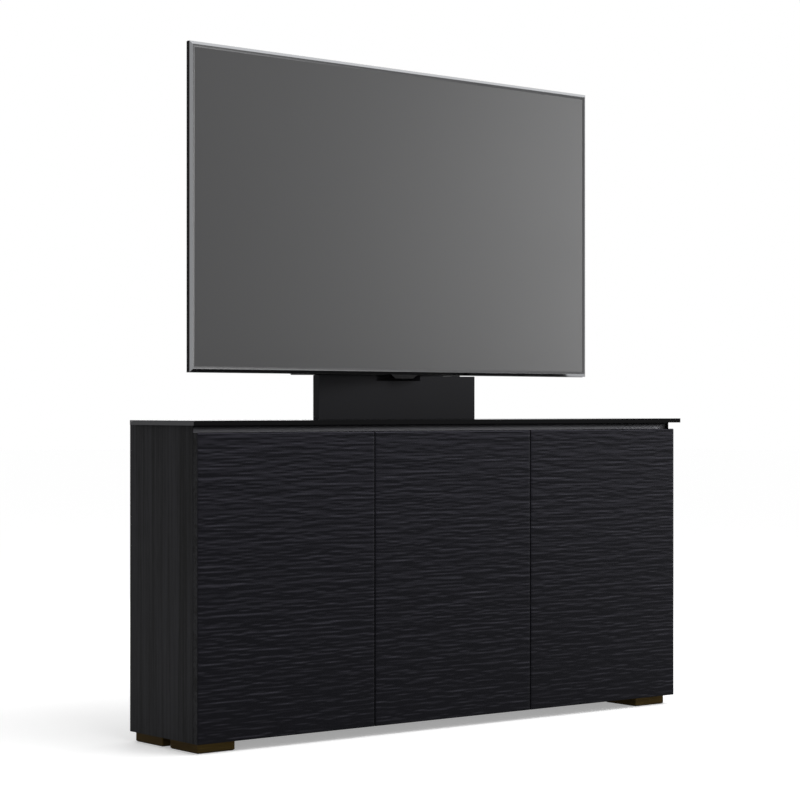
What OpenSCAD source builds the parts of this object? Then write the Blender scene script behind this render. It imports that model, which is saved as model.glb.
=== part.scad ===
// Low media cabinet with three carved doors, a black glass top and a post mount that carries a flat screen.
// Millimetres. X runs to the right, Y to the back and Z up.
// The origin lies on the floor, under the middle of the whole piece.

/* [Cabinet] */
// Width over the two side panels
cabinet_w = 1651; // [1560:1:1800]
// Depth of the side panels
carcass_d = 294; // [280:1:340]
// Height from the floor to the top of the glass
cabinet_h = 830; // [760:1:900]
// Distance between the centres of the two dividers
centre_bay_w = 542; // [500:1:600]
// Thickness of the side panels
side_t = 16; // [15:0.5:19]
// Thickness of the two dividers
divider_t = 16; // [15:0.5:19]
// Thickness of the bottom panel and of the panel under the glass
deck_t = 16; // [15:0.5:19]
// Thickness of the back panels
back_t = 5; // [4:0.5:7]
// Width of the rebates that hold the back panels
rebate_w = 6; // [5:0.5:7]

/* [Glass top] */
// Thickness of the glass
glass_t = 12; // [8:0.5:15]
// How far the glass stands out at each side
glass_side = 18; // [5:1:30]
// How far the glass stands out in front of the doors
glass_front = 12; // [5:1:30]
// How far the rear edge of the glass stays in front of the rear of the carcass
glass_rear = 26; // [20:1:45]
// Radius of the corners of the glass
glass_corner_r = 3; // [1:0.5:8]
// Radius of the clear pads under the glass
glass_pad_r = 6; // [4:0.5:10]

/* [Doors] */
// Thickness of the doors
door_t = 19; // [17:0.5:22]
// Gap between a closed door and the carcass, filled by the bumpers
door_gap = 2; // [1.5:0.5:3]
// Gap between two doors
door_reveal = 3; // [2.5:0.5:5]
// Finger gap between the top of the doors and the glass
grip_gap = 18; // [14:0.5:24]
// Distance of each hinge from the top and bottom of its door
hinge_inset = 100; // [80:1:150]
// Radius of the hinge cups
cup_r = 17.5; // [13:0.5:17.5]
// Distance from the edge of a door to the rim of a hinge cup
cup_edge = 4.5; // [3:0.5:7]
// Depth of the hinge cups
cup_depth = 12; // [11:0.5:13]

/* [Grip rail] */
// Radius of the hollow that the fingers reach into
cove_r = 14; // [11:0.5:16]
// Wall of the rail
rail_wall = 2.5; // [2:0.25:3.5]
// Wood left outside each end of the rail
rail_skin = 2; // [1.5:0.5:6]

/* [Feet] */
// Width of a foot
foot_w = 112; // [90:1:140]
// Depth of a foot
foot_d = 128; // [100:1:140]
// Height of a foot above its pad
foot_h = 25; // [20:1:60]
// Thickness of the pad under a foot
foot_pad_t = 2; // [1:0.5:4]
// Distance from the side of the cabinet to a foot
foot_side = 17; // [5:1:40]
// Distance from the front of the carcass to a front foot
foot_front = 3; // [0:1:20]

/* [Shelves] */
// Thickness of the shelves
shelf_t = 16; // [15:0.5:19]
// Distance from the front of the carcass to a shelf
shelf_front = 20; // [10:1:40]
// Gap for leads between a shelf and the back panel
shelf_rear = 40; // [25:1:60]
// Gap between a shelf and the panel beside it
shelf_side = 1; // [0.5:0.25:2]
// Step of the rows of shelf pin holes
pin_step = 64; // [32:32:96]
// Holes in each row
pin_holes = 5; // [3:1:6]
// Height of the lowest hole above the bottom panel
pin_first = 200; // [150:1:260]
// Hole that carries the shelf, counted from the lowest
shelf_level = 3; // [1:1:3]
// Radius of the shelf pins
pin_r = 2.5; // [2.5:0.5:3.5]
// Length of a shelf pin inside the panel
pin_in = 9; // [7:0.5:10]
// Length of a shelf pin under the shelf
pin_out = 9; // [7:0.5:12]

/* [Back] */
// Length of the vent slots
vent_l = 70; // [50:1:72]
// Width of the vent slots
vent_w = 6; // [4:0.5:8]
// Vent slots in each row
vent_rows = 9; // [5:1:12]
// Radius of the cable ports
port_r = 30; // [20:1:35]
// Width of the rim of the port liners
liner_rim = 4; // [3:0.5:6]

/* [Mount posts] */
// Width of a post
post_w = 50; // [40:1:60]
// Depth of a post
post_d = 25; // [20:1:30]
// Wall of the posts
post_wall = 3; // [2:0.5:4]
// Distance between the centres of the posts
post_spacing = 220; // [180:1:230]
// Height of the rails inside the back that the posts are bolted to
mount_rail_h = 80; // [70:1:100]
// Thickness of those rails
mount_rail_t = 18; // [15:1:22]
// Shank radius of the mount bolts
bolt_r = 4; // [3:0.5:4]
// Width of the cover in front of the posts
cover_w = 549; // [400:1:600]
// Depth of the cover
cover_d = 26.5; // [20:0.5:35]
// Distance from the rear of the carcass to the front of the cover
cover_setback = 72; // [60:1:90]
// Sheet thickness of the cover
cover_sheet = 2; // [1.5:0.25:3]
// Gap between the cover and the screen above it
cover_gap = 3.5; // [3:0.25:6]
// Depth of the pocket in the cover behind the sensor pod
pocket_d = 48; // [46:1:56]
// Thickness of the sheet that closes the duct behind the cover
duct_sheet = 1.5; // [1:0.25:2.5]
// How much narrower than the cover that sheet is at each side
duct_inset = 46.5; // [40:0.5:60]
// How far its upper part reaches past the cover at each side
duct_over = 25; // [10:1:30]
// How far that sheet rises above the cover
duct_rise = 40; // [20:1:60]
// Length of the thread beyond each nut
bolt_over = 1; // [0.5:0.5:3]

/* [Swivel and tilt] */
// Angle that the screen is turned by at rest
rest_turn = 6; // [0:0.5:8]
// Radius of the upright swivel pin
pivot_r = 7; // [6:0.5:8]
// Wall of the sleeve that turns on the pin
sleeve_wall = 5.5; // [4:0.5:6]
// Length of the sleeve
sleeve_h = 150; // [120:1:180]
// Thickness of the lugs that hold the pin
lug_t = 10; // [8:0.5:14]
// Distance from the swivel pin to the face of the posts
pivot_out = 23; // [23:0.5:28]
// Thickness of the plate across the posts
cross_t = 5; // [4:0.5:5]
// Height of the plate across the posts
cross_h = 240; // [220:1:280]
// Height of the beam that the sleeve carries
beam_h = 40; // [30:1:50]
// Depth of the beam
beam_d = 14; // [10:0.5:14]
// Distance from the swivel pin to the front face of the beam
beam_front = 25; // [24:0.5:26]
// Radius of the tilt studs
stud_r = 5; // [4:0.5:6]
// Thickness of the ears at the ends of the beam
ear_t = 10; // [8:0.5:12]
// Running clearance of the pins in their bores
running_fit = 0.05; // [0.03:0.01:0.1]
// Clearance round fixed bolts and in loose joints
loose_fit = 0.2; // [0.1:0.05:0.4]

/* [Screen arms] */
// Distance between the fixing holes of the screen, across and up
hole_pitch = 400; // [400:50:500]
// Length of an arm
arm_l = 450; // [440:1:600]
// Width of an arm
arm_w = 29; // [25:1:35]
// Depth of an arm
arm_d = 25; // [22:0.5:27]
// Sheet thickness of the arms
arm_sheet = 3; // [2:0.5:4]

/* [Screen] */
// Width of the screen housing
screen_w = 1522; // [1400:1:1560]
// Height of the screen housing
screen_h = 844; // [790:1:900]
// Depth of the housing at its edge
edge_d = 18; // [16:0.5:20]
// Depth of the housing at its middle
screen_d = 37; // [35:0.5:38]
// Height of the lower edge of the screen above the glass
screen_lift = 123; // [100:1:160]
// Width of the bright frame seen from the front
trim_w = 8; // [5:0.5:10]
// Width of the black frame inside it
bezel_w = 7; // [5:0.5:16]
// Depth of the bevel of the bright frame
trim_bevel = 5; // [2:0.5:6]
// Width of the thick middle of the rear cover
hump_w = 1120; // [900:1:1200]
// Height of the thick middle of the rear cover
hump_h = 500; // [480:1:560]
// How far the rear cover hangs below the bright frame
shell_drop = 1.2; // [0.4:0.2:1.2]
// Width of the sensor pod under the screen
pod_w = 102; // [70:1:130]
// How far the sensor pod hangs below the screen
pod_drop = 11; // [8:0.5:12]

/* [Hidden] */
$fn = 48;

black_wood = "#1e1e21";
carved_wood = "#242327";
bronze = "#3a3322";
satin_metal = "#6a6a6a";
steel_black = "#202022";
zinc = "#a9abae";
black_plastic = "#161618";
clear_plastic = "#d8dde0";
glass_black = "#08080a";

// Levels and lines that the pieces share
carcass_z = foot_pad_t + foot_h;
bay_floor_z = carcass_z + deck_t;
glass_z = cabinet_h - glass_t;
bay_top_z = glass_z - deck_t;
door_top_z = glass_z - grip_gap;
half_w = cabinet_w / 2;
inner_x = half_w - side_t;
divider_x = centre_bay_w / 2;
total_d = glass_front + door_t + door_gap + carcass_d + post_d;
door_y = glass_front - total_d / 2;
carcass_y = door_y + door_t + door_gap;
back_y = carcass_y + carcass_d;

// Left and right limits of the three bays, and of the three doors
bays = [[-inner_x, -divider_x - divider_t / 2], [-divider_x + divider_t / 2, divider_x - divider_t / 2],
    [divider_x + divider_t / 2, inner_x]];
doors = [[-half_w, -divider_x - door_reveal / 2], [-divider_x + door_reveal / 2, divider_x - door_reveal / 2],
    [divider_x + door_reveal / 2, half_w]];
hinge_zs = [carcass_z + hinge_inset, door_top_z - hinge_inset];

// Grip rail: the hollow reaches below the door tops, and a web of metal is left above it
rail_lip = 1.6;
cove_out = 2;
rail_d = cove_r - cove_out + rail_wall;
cove_z = glass_z - rail_lip - cove_r;

// Screen and mount, measured from the swivel pin in the turned frame, with the front at negative y
screen_z = cabinet_h + screen_lift + screen_h / 2;
post_y = back_y;
pivot_y = post_y - pivot_out;
screen_rear = beam_front + 5;
screen_front = screen_rear + screen_d;
tilt_y = 14;
sleeve_r = pivot_r + sleeve_wall;
washer_t = 1.5;
arm_x = hole_pitch / 2;
ear_x = arm_x - arm_w / 2 - washer_t;
knob_x = arm_x + arm_w / 2;
post_top = screen_z + cross_h / 2 + 20;
cover_top = cabinet_h + screen_lift - cover_gap;
cover_y = back_y - cover_setback;
cross_bolt_zs = [for (share = [-1 / 3, -1 / 6, 1 / 6, 1 / 3]) screen_z + share * cross_h];
cap_lip = 2;

module block(low, high) translate(low) cube(high - low);

// Rectangle with round corners, centred, made of exact arcs
module round_rect(w, d, r) {
    square([w - 2 * r, d], center = true);
    square([w, d - 2 * r], center = true);
    for (sx = [-1, 1], sy = [-1, 1]) translate([sx * (w / 2 - r), sy * (d / 2 - r)]) circle(r);
}

module slot_outline(l, w) {
    square([l - w, w], center = true);
    for (s = [-1, 1]) translate([s * (l - w) / 2, 0]) circle(w / 2);
}

// Cylinders along the X and Y axes, starting at the given point
module rod_x(p, r, l) translate(p) rotate([0, 90, 0]) cylinder(r = r, h = l);
module rod_y(p, r, l) translate(p) rotate([-90, 0, 0]) cylinder(r = r, h = l);

// Extrudes an outline drawn in Y and Z along X, from x0 to x1
module along_x(x0, x1) translate([x0, 0, 0]) rotate([90, 0, 90]) linear_extrude(x1 - x0) children();

// Places what is drawn round the swivel pin, at the height of the middle of the screen
module turned() translate([0, pivot_y, screen_z]) rotate([0, 0, rest_turn]) children();

module back_rebates() {
    for (b = bays)
        block([b[0] - rebate_w, back_y - back_t, bay_floor_z - rebate_w],
            [b[1] + rebate_w, back_y + 1, bay_top_z + rebate_w]);
}

// Depths at which the pin rows stand, and the heights of their holes
pin_row_in = 32;
pin_ys = [carcass_y + shelf_front + pin_row_in, back_y - back_t - shelf_rear - pin_row_in];
pin_zs = [for (i = [0 : pin_holes - 1]) bay_floor_z + pin_first + i * pin_step];
shelf_z = pin_zs[shelf_level - 1] + pin_r;

// Rows of blind holes in the panel face at x, bored in direction s
module pin_rows(x, s) {
    for (y = pin_ys, z = pin_zs) rod_x([s > 0 ? x - 1 : x - pin_in, y, z], pin_r, pin_in + 1);
}

// Room for the grip rail in the upper front corner of the upright panels
module rail_notch() {
    r = cove_r + rail_wall + loose_fit;
    end = half_w - rail_skin;
    along_x(-end, end) translate([carcass_y - cove_out, cove_z]) {
        circle(r, $fn = 96);
        square([r, r + rail_lip]);
    }
}

module side_panel(s) {
    color(black_wood) difference() {
        block([s > 0 ? inner_x : -half_w, carcass_y, carcass_z],
            [s > 0 ? half_w : -inner_x, back_y, glass_z]);
        back_rebates();
        pin_rows(s * inner_x, s);
        rail_notch();
    }
}

module left_side_panel() side_panel(-1);
module right_side_panel() side_panel(1);

// Lead hole of a divider: clear of the mount rails and low in the bay
lead_hole_gap = 8;
lead_hole_y = back_y - back_t - mount_rail_t - port_r - lead_hole_gap;
lead_hole_z = bay_floor_z + mount_rail_h + port_r;

module divider(s) {
    x = s * divider_x;
    color(black_wood) difference() {
        block([x - divider_t / 2, carcass_y, bay_floor_z], [x + divider_t / 2, back_y, bay_top_z]);
        back_rebates();
        pin_rows_shallow(x);
        rod_x([x - divider_t, lead_hole_y, lead_hole_z], port_r, 2 * divider_t);
        rail_notch();
    }
}

// The divider has a row on each face, so its holes are half as deep
divider_hole = divider_t / 2 - 1;
module pin_rows_shallow(x) {
    half_t = divider_t / 2;
    for (y = pin_ys, z = pin_zs, s = [-1, 1])
        rod_x([s > 0 ? x + half_t - divider_hole : x - half_t - 1, y, z], pin_r, divider_hole + 1);
}

module left_divider() divider(-1);
module right_divider() divider(1);

module bottom_panel() {
    color(black_wood) difference() {
        block([-inner_x, carcass_y, carcass_z], [inner_x, back_y, bay_floor_z]);
        back_rebates();
        for (p = foot_screw_places)
            translate([p[0], p[1], carcass_z - 1]) cylinder(r = foot_screw_r, h = foot_screw_in + 2);
    }
}

glass_pad_t = 1.5;
glass_pad_in = 30;
glass_pad_places = [for (x = [glass_pad_in - inner_x, -divider_x, divider_x, inner_x - glass_pad_in],
    y = [carcass_y + rail_d + glass_pad_in, back_y - glass_rear - glass_pad_in]) [x, y]];

module sub_top_panel() {
    color(black_wood) difference() {
        block([-inner_x, carcass_y + rail_d, bay_top_z], [inner_x, back_y, glass_z]);
        back_rebates();
        for (p = glass_pad_places)
            translate([p[0], p[1], glass_z - glass_pad_t]) cylinder(r = glass_pad_r + loose_fit, h = 2);
    }
}

module glass_pads() {
    color(clear_plastic) for (p = glass_pad_places)
        translate([p[0], p[1], glass_z - glass_pad_t]) cylinder(r = glass_pad_r, h = glass_pad_t);
}

glass_d = glass_front + door_t + door_gap + carcass_d - glass_rear;
module glass_top() {
    color(glass_black) translate([0, door_y - glass_front + glass_d / 2, glass_z])
        linear_extrude(glass_t) round_rect(cabinet_w + 2 * glass_side, glass_d, glass_corner_r);
}

// Extruded finger pull: a hollow of one radius, a flange under the glass and a leg on the panel edge
module grip_rail_outline() {
    difference() {
        union() {
            intersection() {
                translate([carcass_y - cove_out, cove_z]) circle(cove_r + rail_wall, $fn = 96);
                translate([carcass_y, glass_z - deck_t - cove_r])
                    square([rail_d, deck_t + cove_r]);
            }
            translate([carcass_y, glass_z - rail_lip]) square([rail_d, rail_lip]);
            translate([carcass_y + rail_d - rail_wall, bay_top_z]) square([rail_wall, deck_t]);
        }
        translate([carcass_y - cove_out, cove_z]) circle(cove_r, $fn = 96);
    }
}

module grip_rail() {
    end = half_w - rail_skin - loose_fit;
    color(satin_metal) along_x(-end, end) grip_rail_outline();
}

// Ports: one in each outer back panel, two in the middle one and one in each divider
port_z = bay_floor_z + mount_rail_h + 2 * port_r;
function bay_middle(b) = (b[0] + b[1]) / 2;

// Two columns of level slots, the highest at z
module vent_field(x, z) {
    pitch = 2.5 * vent_w;
    middle_bar = 16;
    for (i = [0 : vent_rows - 1], s = [-1, 1])
        translate([x + s * (vent_l + middle_bar) / 2, back_y + 1, z - i * pitch]) rotate([90, 0, 0])
            linear_extrude(back_t + 2) slot_outline(vent_l, vent_w);
}

panel_fit = 0.5;
module back_panel(b) {
    m = bay_middle(b);
    color(black_wood) difference() {
        block([b[0] - rebate_w + panel_fit, back_y - back_t, bay_floor_z - rebate_w + panel_fit],
            [b[1] + rebate_w - panel_fit, back_y, bay_top_z + rebate_w - panel_fit]);
        vent_field(m, bay_top_z - 1.5 * mount_rail_h);
        rod_y([m, back_y - back_t - 1, port_z], port_r, back_t + 2);
        if (b == bays[1]) post_bolt_holes();
    }
}

module left_back_panel() back_panel(bays[0]);
module centre_back_panel() back_panel(bays[1]);
module right_back_panel() back_panel(bays[2]);

// Push-in liner of a port: a thin tube with a rim at each end of it that shows
liner_t = 3;
module port_liner(l) {
    rim_t = 2;
    difference() {
        union() {
            cylinder(r = port_r - loose_fit, h = l);
            translate([0, 0, l]) cylinder(r = port_r + liner_rim, h = rim_t);
        }
        translate([0, 0, -1]) cylinder(r = port_r - liner_t, h = l + rim_t + 2);
    }
}

module port_liners() {
    color(black_plastic) {
        for (b = bays) translate([bay_middle(b), back_y - back_t, port_z])
            rotate([90, 0, 0]) mirror([0, 0, 1]) port_liner_in(back_t);
        for (s = [-1, 1]) translate([s * (divider_x + divider_t / 2), lead_hole_y, lead_hole_z])
            rotate([0, -90 * s, 0]) mirror([0, 0, 1]) translate([0, 0, -divider_t]) port_liner(divider_t);
    }
}

// In a back panel the rim lies inside the cabinet, so nothing stands out behind it
module port_liner_in(l) translate([0, 0, l]) mirror([0, 0, 1]) port_liner(l);

module shelf(b) {
    color(black_wood) block([b[0] + shelf_side, carcass_y + shelf_front, shelf_z],
        [b[1] - shelf_side, back_y - back_t - shelf_rear, shelf_z + shelf_t]);
}

module left_shelf() shelf(bays[0]);
module centre_shelf() shelf(bays[1]);
module right_shelf() shelf(bays[2]);

module shelf_pins() {
    color(zinc) for (i = [0 : 2], y = pin_ys, e = [0, 1]) {
        x = bays[i][e];
        outer = (i == 0 && e == 0) || (i == 2 && e == 1);
        inside = outer ? pin_in - 1 : divider_hole - 1;
        rod_x([e == 0 ? x - inside : x - pin_out, y, shelf_z - pin_r], pin_r - running_fit, inside + pin_out);
    }
}

// Feet: blocks with a round upright edge, screwed up into the bottom panel from a counterbore
foot_corner_r = 3;
foot_x = half_w - foot_side - foot_w / 2;
foot_ys = [carcass_y + foot_front + foot_d / 2, back_y - foot_d / 2];
foot_screw_r = 2.5;
foot_screw_in = 11;
foot_screw_out = 30;
foot_seat_t = 10;
foot_bore_r = 6;
foot_pad_in = 2;
foot_screw_places = [for (sx = [-1, 1], y = foot_ys, s = [-1, 1]) [sx * foot_x, y + s * foot_screw_out]];

module foot(sx, i) {
    color(bronze) difference() {
        translate([sx * foot_x, foot_ys[i], foot_pad_t])
            linear_extrude(foot_h) round_rect(foot_w, foot_d, foot_corner_r);
        for (s = [-1, 1]) translate([sx * foot_x, foot_ys[i] + s * foot_screw_out, 0]) {
            cylinder(r = foot_screw_r + loose_fit, h = carcass_z + 1);
            cylinder(r = foot_bore_r, h = carcass_z - foot_seat_t);
        }
    }
}

module front_left_foot() foot(-1, 0);
module front_right_foot() foot(1, 0);
module rear_left_foot() foot(-1, 1);
module rear_right_foot() foot(1, 1);

module foot_pads() {
    color(black_plastic) for (sx = [-1, 1], y = foot_ys) difference() {
        translate([sx * foot_x, y, 0]) linear_extrude(foot_pad_t)
            round_rect(foot_w - 2 * foot_pad_in, foot_d - 2 * foot_pad_in, foot_corner_r);
        for (s = [-1, 1]) translate([sx * foot_x, y + s * foot_screw_out, -1])
            cylinder(r = foot_bore_r + 1, h = foot_pad_t + 2);
    }
}

module foot_screws() {
    head_r = 5;
    head_t = 3;
    color(zinc) for (p = foot_screw_places) translate([p[0], p[1], carcass_z - foot_seat_t]) {
        cylinder(r = foot_screw_r, h = foot_seat_t + foot_screw_in);
        translate([0, 0, -head_t]) cylinder(r = head_r, h = head_t);
    }
}

// Concealed hinges. Each row: wall that carries the arm, direction of the bay, and edge of the door.
hinges = [[bays[0][0], 1, doors[0][0]], [bays[1][0], 1, doors[1][0]], [bays[2][1], -1, doors[2][1]]];
cup_inset = cup_edge + cup_r;
function cup_x(h) = h[2] + h[1] * cup_inset;

// Mounting plate on the wall and the arm over it, cranked so that its nose comes behind the cup
arm_h = 13;
arm_t = 9;
nose_w = 11;
plate_in = 22;
plate_l = 38;
wing_in = 30;
wing_l = 18;
wing_h = 48;
module hinge_arm(h) {
    plate_t = 2.5;
    plate_y = [plate_in, plate_in + plate_l];
    wing_y = [wing_in, wing_in + wing_l];
    screw_z = 18;
    tip_y = 0.5;
    nose_x = max(cup_inset - abs(h[0] - h[2]), 2) - 2;
    translate([h[0], carcass_y, 0]) mirrored(h[1]) {
        block([0, plate_y[0], -arm_h / 2 - 2], [plate_t, plate_y[1], arm_h / 2 + 2]);
        block([0, wing_y[0], -wing_h / 2], [plate_t, wing_y[1], wing_h / 2]);
        linear_extrude(arm_h, center = true) polygon([[plate_t, plate_y[0]], [plate_t, plate_y[1] - 2],
            [plate_t + arm_t, plate_y[1] - 2], [plate_t + arm_t, wing_y[0]], [nose_x + nose_w, 6],
            [nose_x + nose_w, tip_y], [nose_x, tip_y], [nose_x, 6]]);
        for (s = [-1, 1]) rod_x([plate_t, (wing_y[0] + wing_y[1]) / 2, s * screw_z], 4, 1.5);
    }
}

module mirrored(s) mirror([s > 0 ? 0 : 1, 0, 0]) children();

module hinge_arms() {
    color(zinc) for (h = hinges, z = hinge_zs) translate([0, 0, z]) hinge_arm(h);
}

// Cup with a flange for two screws, and the knuckle of the links inside it
cup_flange_t = 1.5;
module hinge_cup(h, z) {
    flange_w = 22;
    flange_h = 62;
    cup_wall = 2;
    screw_z = 25;
    knuckle = [10, 12];
    translate([cup_x(h), door_y + door_t, z]) {
        difference() {
            union() {
                rod_y([0, -cup_depth, 0], cup_r - loose_fit, cup_depth);
                rotate([-90, 0, 0]) linear_extrude(cup_flange_t) round_rect(flange_w, flange_h, 5);
                rod_y([0, 0, 0], cup_r + 1, cup_flange_t);
            }
            rod_y([0, -cup_depth + cup_wall, 0], cup_r - cup_wall, cup_depth + cup_flange_t);
        }
        for (s = [-1, 1]) rod_y([0, cup_flange_t, s * screw_z], 3.5, 0.3);
        block([-knuckle[0] / 2, cup_wall - cup_depth, -knuckle[1] / 2], [knuckle[0] / 2, -2, knuckle[1] / 2]);
    }
}

module hinge_cups(i) color(zinc) for (z = hinge_zs) hinge_cup(hinges[i], z);
module left_hinge_cups() hinge_cups(0);
module centre_hinge_cups() hinge_cups(1);
module right_hinge_cups() hinge_cups(2);

// Door slab with a small bevel at the top of its front, and the bores of its hinge cups
module door(i) {
    d = doors[i];
    bevel = 1.5;
    color(carved_wood) difference() {
        along_x(d[0], d[1]) polygon([[door_y, carcass_z], [door_y + door_t, carcass_z],
            [door_y + door_t, door_top_z], [door_y + bevel, door_top_z], [door_y, door_top_z - bevel]]);
        for (z = hinge_zs) rod_y([cup_x(hinges[i]), door_y + door_t - cup_depth, z], cup_r, cup_depth + 1);
    }
}

module left_door() door(0);
module centre_door() door(1);
module right_door() door(2);

// Clear bumpers behind the opening edge of each door, on the front edges of the panels
bumper_xs = [-divider_x - divider_t / 4 - door_reveal / 4, divider_x - divider_t / 4 - door_reveal / 4,
    divider_x + divider_t / 4 + door_reveal / 4];
bumper_up = 40;
bumper_down = 60;
module door_bumpers() {
    bumper_r = (divider_t - door_reveal) / 4 - 0.25;
    color(clear_plastic) for (x = bumper_xs, z = [bay_floor_z + bumper_up, bay_top_z - bumper_down])
        rod_y([x, carcass_y - door_gap, z], bumper_r, door_gap);
}

// Rails inside the middle bay that take the bolts of the posts
rail_y0 = back_y - back_t - mount_rail_t;
module mount_rail(z) {
    color(black_wood) difference() {
        block([bays[1][0], rail_y0, z], [bays[1][1], back_y - back_t, z + mount_rail_h]);
        post_bolt_holes();
    }
}

module lower_mount_rail() mount_rail(bay_floor_z);
module upper_mount_rail() mount_rail(bay_top_z - mount_rail_h);

post_bolt_zs = [for (z = [bay_floor_z, bay_top_z - mount_rail_h], s = [0.25, 0.75]) z + s * mount_rail_h];
module post_bolt_holes() {
    for (s = [-1, 1], z = post_bolt_zs)
        rod_y([s * post_spacing / 2, rail_y0 - 1, z], bolt_r + loose_fit, mount_rail_t + back_t + 2);
}

// Post: a box tube with bolt holes in its front wall, access holes in its rear wall
bolt_head_r = 7;
bolt_head_t = 5;
module post(s) {
    x = s * post_spacing / 2;
    color(steel_black) difference() {
        block([x - post_w / 2, post_y, carcass_z], [x + post_w / 2, post_y + post_d, post_top]);
        block([x - post_w / 2 + post_wall, post_y + post_wall, carcass_z - 1],
            [x + post_w / 2 - post_wall, post_y + post_d - post_wall, post_top + 1]);
        for (z = concat(post_bolt_zs, cross_bolt_zs, cover_bracket_zs)) {
            rod_y([x, post_y - 1, z], bolt_r + loose_fit, post_wall + 2);
            rod_y([x, post_y + post_d - post_wall - 1, z], bolt_head_r + 1, post_wall + 2);
        }
    }
}

module left_post() post(-1);
module right_post() post(1);

module post_caps() {
    gap = 0.3;
    lip_h = 3;
    plug_h = 15;
    color(black_plastic) for (s = [-1, 1]) translate([s * post_spacing / 2, post_y + post_d / 2, post_top]) {
        linear_extrude(lip_h) round_rect(post_w, post_d, 2);
        translate([0, 0, -plug_h]) linear_extrude(plug_h)
            round_rect(post_w - 2 * (post_wall + gap), post_d - 2 * (post_wall + gap), 1);
    }
}

// Bolt along Y with its head at the rear, starting at the tip
module bolt_to_front(x, z, tip_y, head_y) {
    rod_y([x, tip_y, z], bolt_r, head_y - tip_y);
    rod_y([x, head_y, z], bolt_head_r, bolt_head_t);
}

module post_bolts() {
    color(zinc) for (s = [-1, 1], z = post_bolt_zs)
        bolt_to_front(s * post_spacing / 2, z, rail_y0 + 2, post_y + post_wall);
}

// Cover: folded sheet with side flanges, a foot flange on the glass and a pocket for the sensor pod
pocket_side = 25;
pocket_w = pod_w + 2 * pocket_side;
pocket_h = pod_drop + 3;
strip_t = 3;
module mount_cover() {
    w = cover_w / 2;
    pocket_z = cover_top - pocket_h;
    color(steel_black) difference() {
        union() {
            difference() {
                block([-w, cover_y, cabinet_h], [w, cover_y + cover_d, cover_top]);
                block([-w + cover_sheet, cover_y + cover_sheet, cabinet_h + cover_sheet],
                    [w - cover_sheet, cover_y + cover_d + 1, cover_top + 1]);
            }
            block([-pocket_w / 2 - cover_sheet, cover_y, pocket_z - cover_sheet],
                [pocket_w / 2 + cover_sheet, cover_y + pocket_d + cover_sheet, cover_top]);
        }
        block([-pocket_w / 2, cover_y - 1, pocket_z], [pocket_w / 2, cover_y + pocket_d, cover_top + 1]);
    }
}

// Sheet on the front of the posts, which closes the lead duct behind the cover. Its wings are folded back,
// clear of the swing of the screen, and reach further out above the cover.
module duct_back() {
    flat = (post_spacing + post_w) / 2 + 5;
    reach = cover_w / 2 + duct_over;
    low_w = cover_w / 2 - duct_inset;
    low = cabinet_h + 1;
    shoulder = cover_top + 1.5;
    color(steel_black) difference() {
        translate([0, post_y, low]) linear_extrude(cover_top + duct_rise - low)
            polygon([[-reach, post_d], [-flat, 0], [flat, 0], [reach, post_d], [reach, post_d - duct_sheet],
                [flat, -duct_sheet], [-flat, -duct_sheet], [-reach, post_d - duct_sheet]]);
        for (s = [-1, 1]) block([s > 0 ? low_w : -reach - 1, post_y - 1, low - 1],
            [s > 0 ? reach + 1 : -low_w, post_y + post_d + 1, shoulder]);
        for (s = [-1, 1], z = cover_bracket_zs)
            rod_y([s * post_spacing / 2, post_y - duct_sheet - 1, z], bolt_r + loose_fit, duct_sheet + 2);
    }
}

// Brackets from the posts to the cover, each a strip folded at both ends
cover_bracket_low = 30;
cover_bracket_high = 42;
cover_bracket_zs = [cabinet_h + cover_bracket_low, cover_top - cover_bracket_high];
module cover_brackets() {
    w = 2 * bolt_head_r + 1;
    tab = bolt_head_r + strip_t + 2;
    y0 = cover_y + cover_sheet;
    y1 = post_y - duct_sheet;
    color(steel_black) for (s = [-1, 1], z = cover_bracket_zs)
        translate([s * post_spacing / 2, 0, z]) difference() {
            along_x(-w, w) polygon([[y0, -tab], [y0 + strip_t, -tab], [y0 + strip_t, tab - strip_t],
                [y1 - strip_t, tab - strip_t], [y1 - strip_t, -tab], [y1, -tab], [y1, tab], [y0, tab]]);
            rod_y([0, y1 - strip_t - 1, 0], bolt_r + loose_fit, strip_t + 2);
        }
}

// Plate across the posts, with an upright slot at each side of the bracket for leads
module cross_plate() {
    w = post_spacing / 2 + post_w / 2;
    slot_x = 62;
    slot_w = 24;
    slot_end = 50;
    color(steel_black) difference() {
        translate([0, post_y, screen_z]) rotate([90, 0, 0])
            linear_extrude(cross_t) round_rect(2 * w, cross_h, 6);
        for (s = [-1, 1], z = cross_bolt_zs)
            rod_y([s * post_spacing / 2, post_y - cross_t - 1, z], bolt_r + loose_fit, cross_t + 2);
        for (s = [-1, 1]) translate([s * slot_x, post_y + 1, screen_z]) rotate([90, 90, 0])
            linear_extrude(cross_t + 2) slot_outline(cross_h - 2 * slot_end, slot_w);
    }
}

// Bolts through the plate and the brackets into the posts, heads in front, nuts inside the posts
module cross_plate_bolts() {
    color(zinc) for (s = [-1, 1]) {
        for (z = cross_bolt_zs) front_bolt(s * post_spacing / 2, post_y - cross_t, z);
        for (z = cover_bracket_zs) front_bolt(s * post_spacing / 2, post_y - duct_sheet - strip_t, z);
    }
}

// Bolt along Y with its head against the face at y and a nut inside the post
nut_t = 5;
module front_bolt(x, y, z) {
    nut_y = post_y + post_wall;
    rod_y([x, y - bolt_head_t + 1, z], bolt_head_r, bolt_head_t - 1);
    rod_y([x, y, z], bolt_r, nut_y + nut_t + bolt_over - y);
    rod_y([x, nut_y, z], bolt_head_r - 0.5, nut_t);
}

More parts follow.
